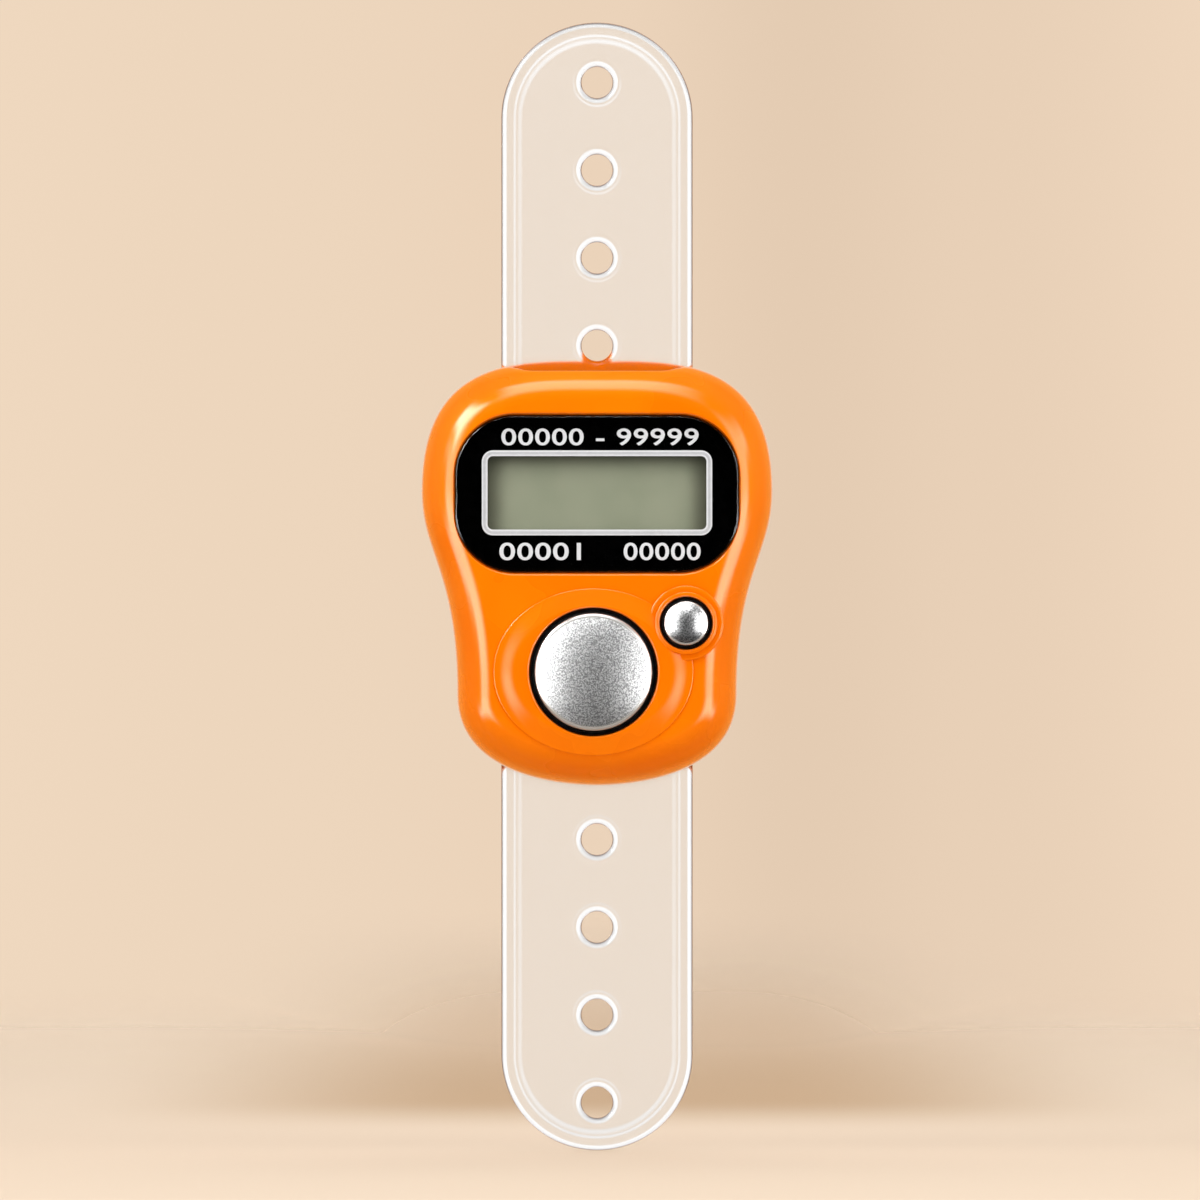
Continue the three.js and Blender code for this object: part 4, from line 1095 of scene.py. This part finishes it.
def set_world():
    """The beige wall that the camera sees, with a soft shadow right of the counter painted into it, and what
    gloss, clear pieces and soft light meet instead.

    Gloss meets a dark room with the lamps in it, which turns orange towards the rear. What clear
    pieces bend meets a pale room. What they let pass almost straight meets the backdrop, and so
    does what they send to the front when they are seen from behind.
    """
    world = bpy.data.worlds.new("studio")
    bpy.context.scene.world = world
    world.use_nodes = True
    world.cycles.sampling_method = "NONE"
    tree = world.node_tree
    direction = tree.nodes.new("ShaderNodeTexCoord").outputs["Generated"]
    x, y, z = added(tree, "ShaderNodeSeparateXYZ", direction).outputs
    side = magnitude(tree, x)
    depth = from_signed(tree, y)
    height = from_signed(tree, z)
    flat = joined_colours(tree, "MULTIPLY", direction, (1, 0, 1))
    bend = length(tree, flat)

    # Wall with its painted soft shadow, for the camera
    wall = ramp(tree, joined(tree, "ADD", joined(tree, "MULTIPLY", x, WALL_SPREAD), 0.5), WALL_WITH_PAINTED_SHADOW)
    lamps = mirrored_lamps(tree, {"x": x, "y": y, "z": z, "side": side})
    mirrored = joined_colours(tree, "ADD", ramp(tree, depth, ROOM_BY_DEPTH), lamps)
    fill = ramp(tree, depth, FILL_BY_DEPTH)
    refracted = joined_colours(
        tree, "MULTIPLY", ramp(tree, bend, CLEAR_BY_BEND), ramp(tree, side, CLEAR_BY_SIDE),
        ramp(tree, height, CLEAR_BY_HEIGHT), ramp(tree, depth, CLEAR_BY_DEPTH),
    )
    path = tree.nodes.new("ShaderNodeLightPath")
    unmirrored = joined(tree, "LESS_THAN", path.outputs["Glossy Depth"], 1)
    from_behind = joined(tree, "MULTIPLY", span(tree, y, *TURNED_TO_FRONT), unmirrored)
    refracted = choose(tree, from_behind, refracted, BACKDROP)
    seen = choose(tree, path.outputs["Is Transmission Ray"], mirrored, refracted)
    seen = choose(tree, path.outputs["Diffuse Depth"], seen, fill)
    seen = choose(tree, path.outputs["Is Camera Ray"], seen, wall)
    tree.links.new(seen, tree.nodes["Background"].inputs["Color"])


# Floor, in metres: limits are (axis, where the painted shadow ends, where it is full)

FLOOR_RADIUS = 2.2
PAPER = colour(195, 177, 156)
# Darker paper that paints the counter's soft shadow on the floor
PAINTED_SHADOW_PAPER = colour(163, 137, 107)
PAPER_FADE = (0.65, 0.15)
PAINTED_SHADOW_LIMITS = (("Y", 0.05, 0.15), ("Y", 1.2, 0.3), ("X", -0.055, -0.01), ("X", 0.06, 0.018))
PAINTED_SHADOW_STRENGTH = 0.65


def set_floor():
    """Pale paper that melts into the backdrop, with a soft shadow behind the strap's tip that is painted
    into its colour.
    """
    bm = bmesh.new()
    bmesh.ops.create_circle(bm, cap_ends=True, segments=96, radius=FLOOR_RADIUS)
    bmesh.ops.translate(bm, verts=bm.verts, vec=(0, 0, cad_low.z))
    floor = mesh_object("floor", bm)
    finish = Finish("floor_paper", PAPER, 0.9)
    tree = finish.tree
    axes = added(tree, "ShaderNodeSeparateXYZ", finish.place).outputs
    # Painted shadow: darker paper behind the strap's tip, which also keeps the floor shown there
    limits = [span(tree, axes[axis], end, full) for axis, end, full in PAINTED_SHADOW_LIMITS]
    painted_shadow = joined(tree, "MULTIPLY", *limits)
    finish.feed("Base Color", finish.blend_colours(painted_shadow, PAPER, PAINTED_SHADOW_PAPER))

    flat = added(tree, "ShaderNodeMapping", finish.place)
    flat.inputs["Scale"].default_value = (1, 1, 0)
    near = span(tree, length(tree, flat.outputs["Vector"]), *PAPER_FADE)
    shown = joined(tree, "MAXIMUM", near, joined(tree, "MULTIPLY", painted_shadow, PAINTED_SHADOW_STRENGTH))
    path = tree.nodes.new("ShaderNodeLightPath")
    facing = tree.nodes.new("ShaderNodeNewGeometry")
    hidden = joined(tree, "MAXIMUM", path.outputs["Is Glossy Ray"], facing.outputs["Backfacing"])
    matt = joined(tree, "MAXIMUM", joined(tree, "SUBTRACT", shown, hidden), 0)
    open_air = tree.nodes.new("ShaderNodeBsdfTransparent")
    finish.show(finish.mixed(matt, open_air.outputs["BSDF"], finish.shader.outputs["BSDF"]))
    floor.data.materials.append(finish.material)


# Put together

def finish_nodes(finish, *names):
    """Gives plain nodes a finish and leaves their shapes as they are."""
    for name in names:
        mesh = nodes[name].data
        mesh.materials.clear()
        mesh.materials.append(finish.material)


def dress(piece, finish, body=None, replaced=()):
    """Gives a new piece its finish and slot, the body that it rides on and the nodes that it replaces."""
    piece.data.materials.clear()
    piece.data.materials.append(finish.material)
    if body:
        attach(piece, body)
    if replaced:
        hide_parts(*replaced)


orange = orange_gloss()
clear_acrylic = clear_finish("clear_acrylic", 0.02, 0.01, 0.04, 3 * MM, 1.49)
clear_vinyl = clear_finish("clear_vinyl", 0.03, 0.02, 0.07, 2 * MM, 1.46, 0.27, VINYL_MILK)
black_ink = plain_finish("black_ink", colour(1, 1, 1), colour(3, 3, 3), 0.08)
white_ink = plain_finish("white_ink", colour(254, 254, 254), colour(250, 250, 250), 0.5)
# Grey that paints the shade of the groove along the window's white line
painted_groove_shade = plain_finish("painted_groove_shade", colour(226, 226, 227), colour(220, 220, 221), 0.5)
gloss_black = plain_finish("gloss_black", colour(5, 5, 5), colour(11, 11, 12), 0.22)
steel = plain_finish(
    "zinc_plate", colour(188, 190, 194), colour(160, 162, 168), 0.3, 1.0, 0.3 * MM, 0.002 * MM,
)

dress(front_case(), orange, "housing", ["front_shell"])
dress(back_case(), orange, "housing", ["back_shell"])
dress(display_window(), clear_acrylic, "housing", ["display_lens"])
dress(black_print(), black_ink, "housing", ["display_mask"])
line, groove = window_frame()
dress(line, white_ink, "housing")
dress(groove, painted_groove_shade, "housing")
for number in NUMBERS:
    dress(printed_number(*number), white_ink, "housing")

for label in ("count", "reset"):
    metal = satin_metal(label)
    dress(button_cap(label), metal, f"{label}_push", [f"{label}_button"])
    dress(button_ring(label), gloss_black, "housing", [f"{label}_button_ring"])
    rubber = plain_finish(f"{label}_rubber", colour(18, 18, 18), colour(30, 30, 30), 0.7)
    dress(return_dome(label), rubber, None, [f"{label}_rubber_dome"])

for node in sorted(nodes):
    if "_screw_" in node:
        dress(plated_screw(node), steel, "housing", [node])

dress(strap_half("strap_upper", strap_top_z, UPPER_HOLE_MARGIN), clear_vinyl,
      None, ["strap_upper_tail", "strap_middle"])
dress(strap_half("strap_lower", strap_bottom_z, LOWER_HOLE_MARGIN), clear_vinyl,
      None, ["strap_lower_tail"])

finish_nodes(plain_finish("white_moulding", colour(232, 231, 226), colour(222, 221, 215), 0.5),
             "inner_plate")
finish_nodes(plain_finish("foam", colour(12, 12, 12), colour(30, 30, 30), 0.95, size=0.1 * MM),
             "display_dust_gasket")
finish_nodes(display_film(), "lcd_front_polariser")
finish_nodes(plain_finish("display_glass", colour(214, 220, 208), colour(205, 212, 200), 0.08),
             "lcd_front_glass", "lcd_rear_glass")
finish_nodes(plain_finish("reflector", colour(169, 171, 156), colour(160, 162, 148), 0.5, 0.3),
             "lcd_rear_polariser")
finish_nodes(plain_finish("zebra_rubber", colour(217, 199, 192), colour(200, 180, 172), 0.8),
             "zebra_strip_upper", "zebra_strip_lower")
finish_nodes(plain_finish("green_board", colour(31, 90, 54), colour(24, 76, 44), 0.45), "circuit_board")
finish_nodes(plain_finish("black_resin", colour(16, 16, 16), colour(26, 26, 26), 0.35), "chip_resin_cap")
finish_nodes(plain_finish("tan_ceramic", colour(183, 154, 114), colour(170, 140, 100), 0.6), "capacitor")
finish_nodes(plain_finish("black_ceramic", colour(28, 28, 30), colour(40, 40, 42), 0.5), "resistor")
finish_nodes(steel, "cell_can", "cell_cap")
finish_nodes(plain_finish("nylon", colour(43, 43, 46), colour(55, 55, 58), 0.6), "cell_gasket")
finish_nodes(plain_finish("spring_brass", colour(201, 163, 82), colour(186, 148, 70), 0.35, 1.0),
             "battery_negative_contact", "battery_positive_contact")
finish_nodes(plain_finish("carbon", colour(26, 26, 26), colour(38, 38, 38), 0.9),
             "count_contact_pill", "reset_contact_pill")

set_camera()
set_light()
set_world()
set_floor()
bpy.context.scene.view_settings.view_transform = "Standard"
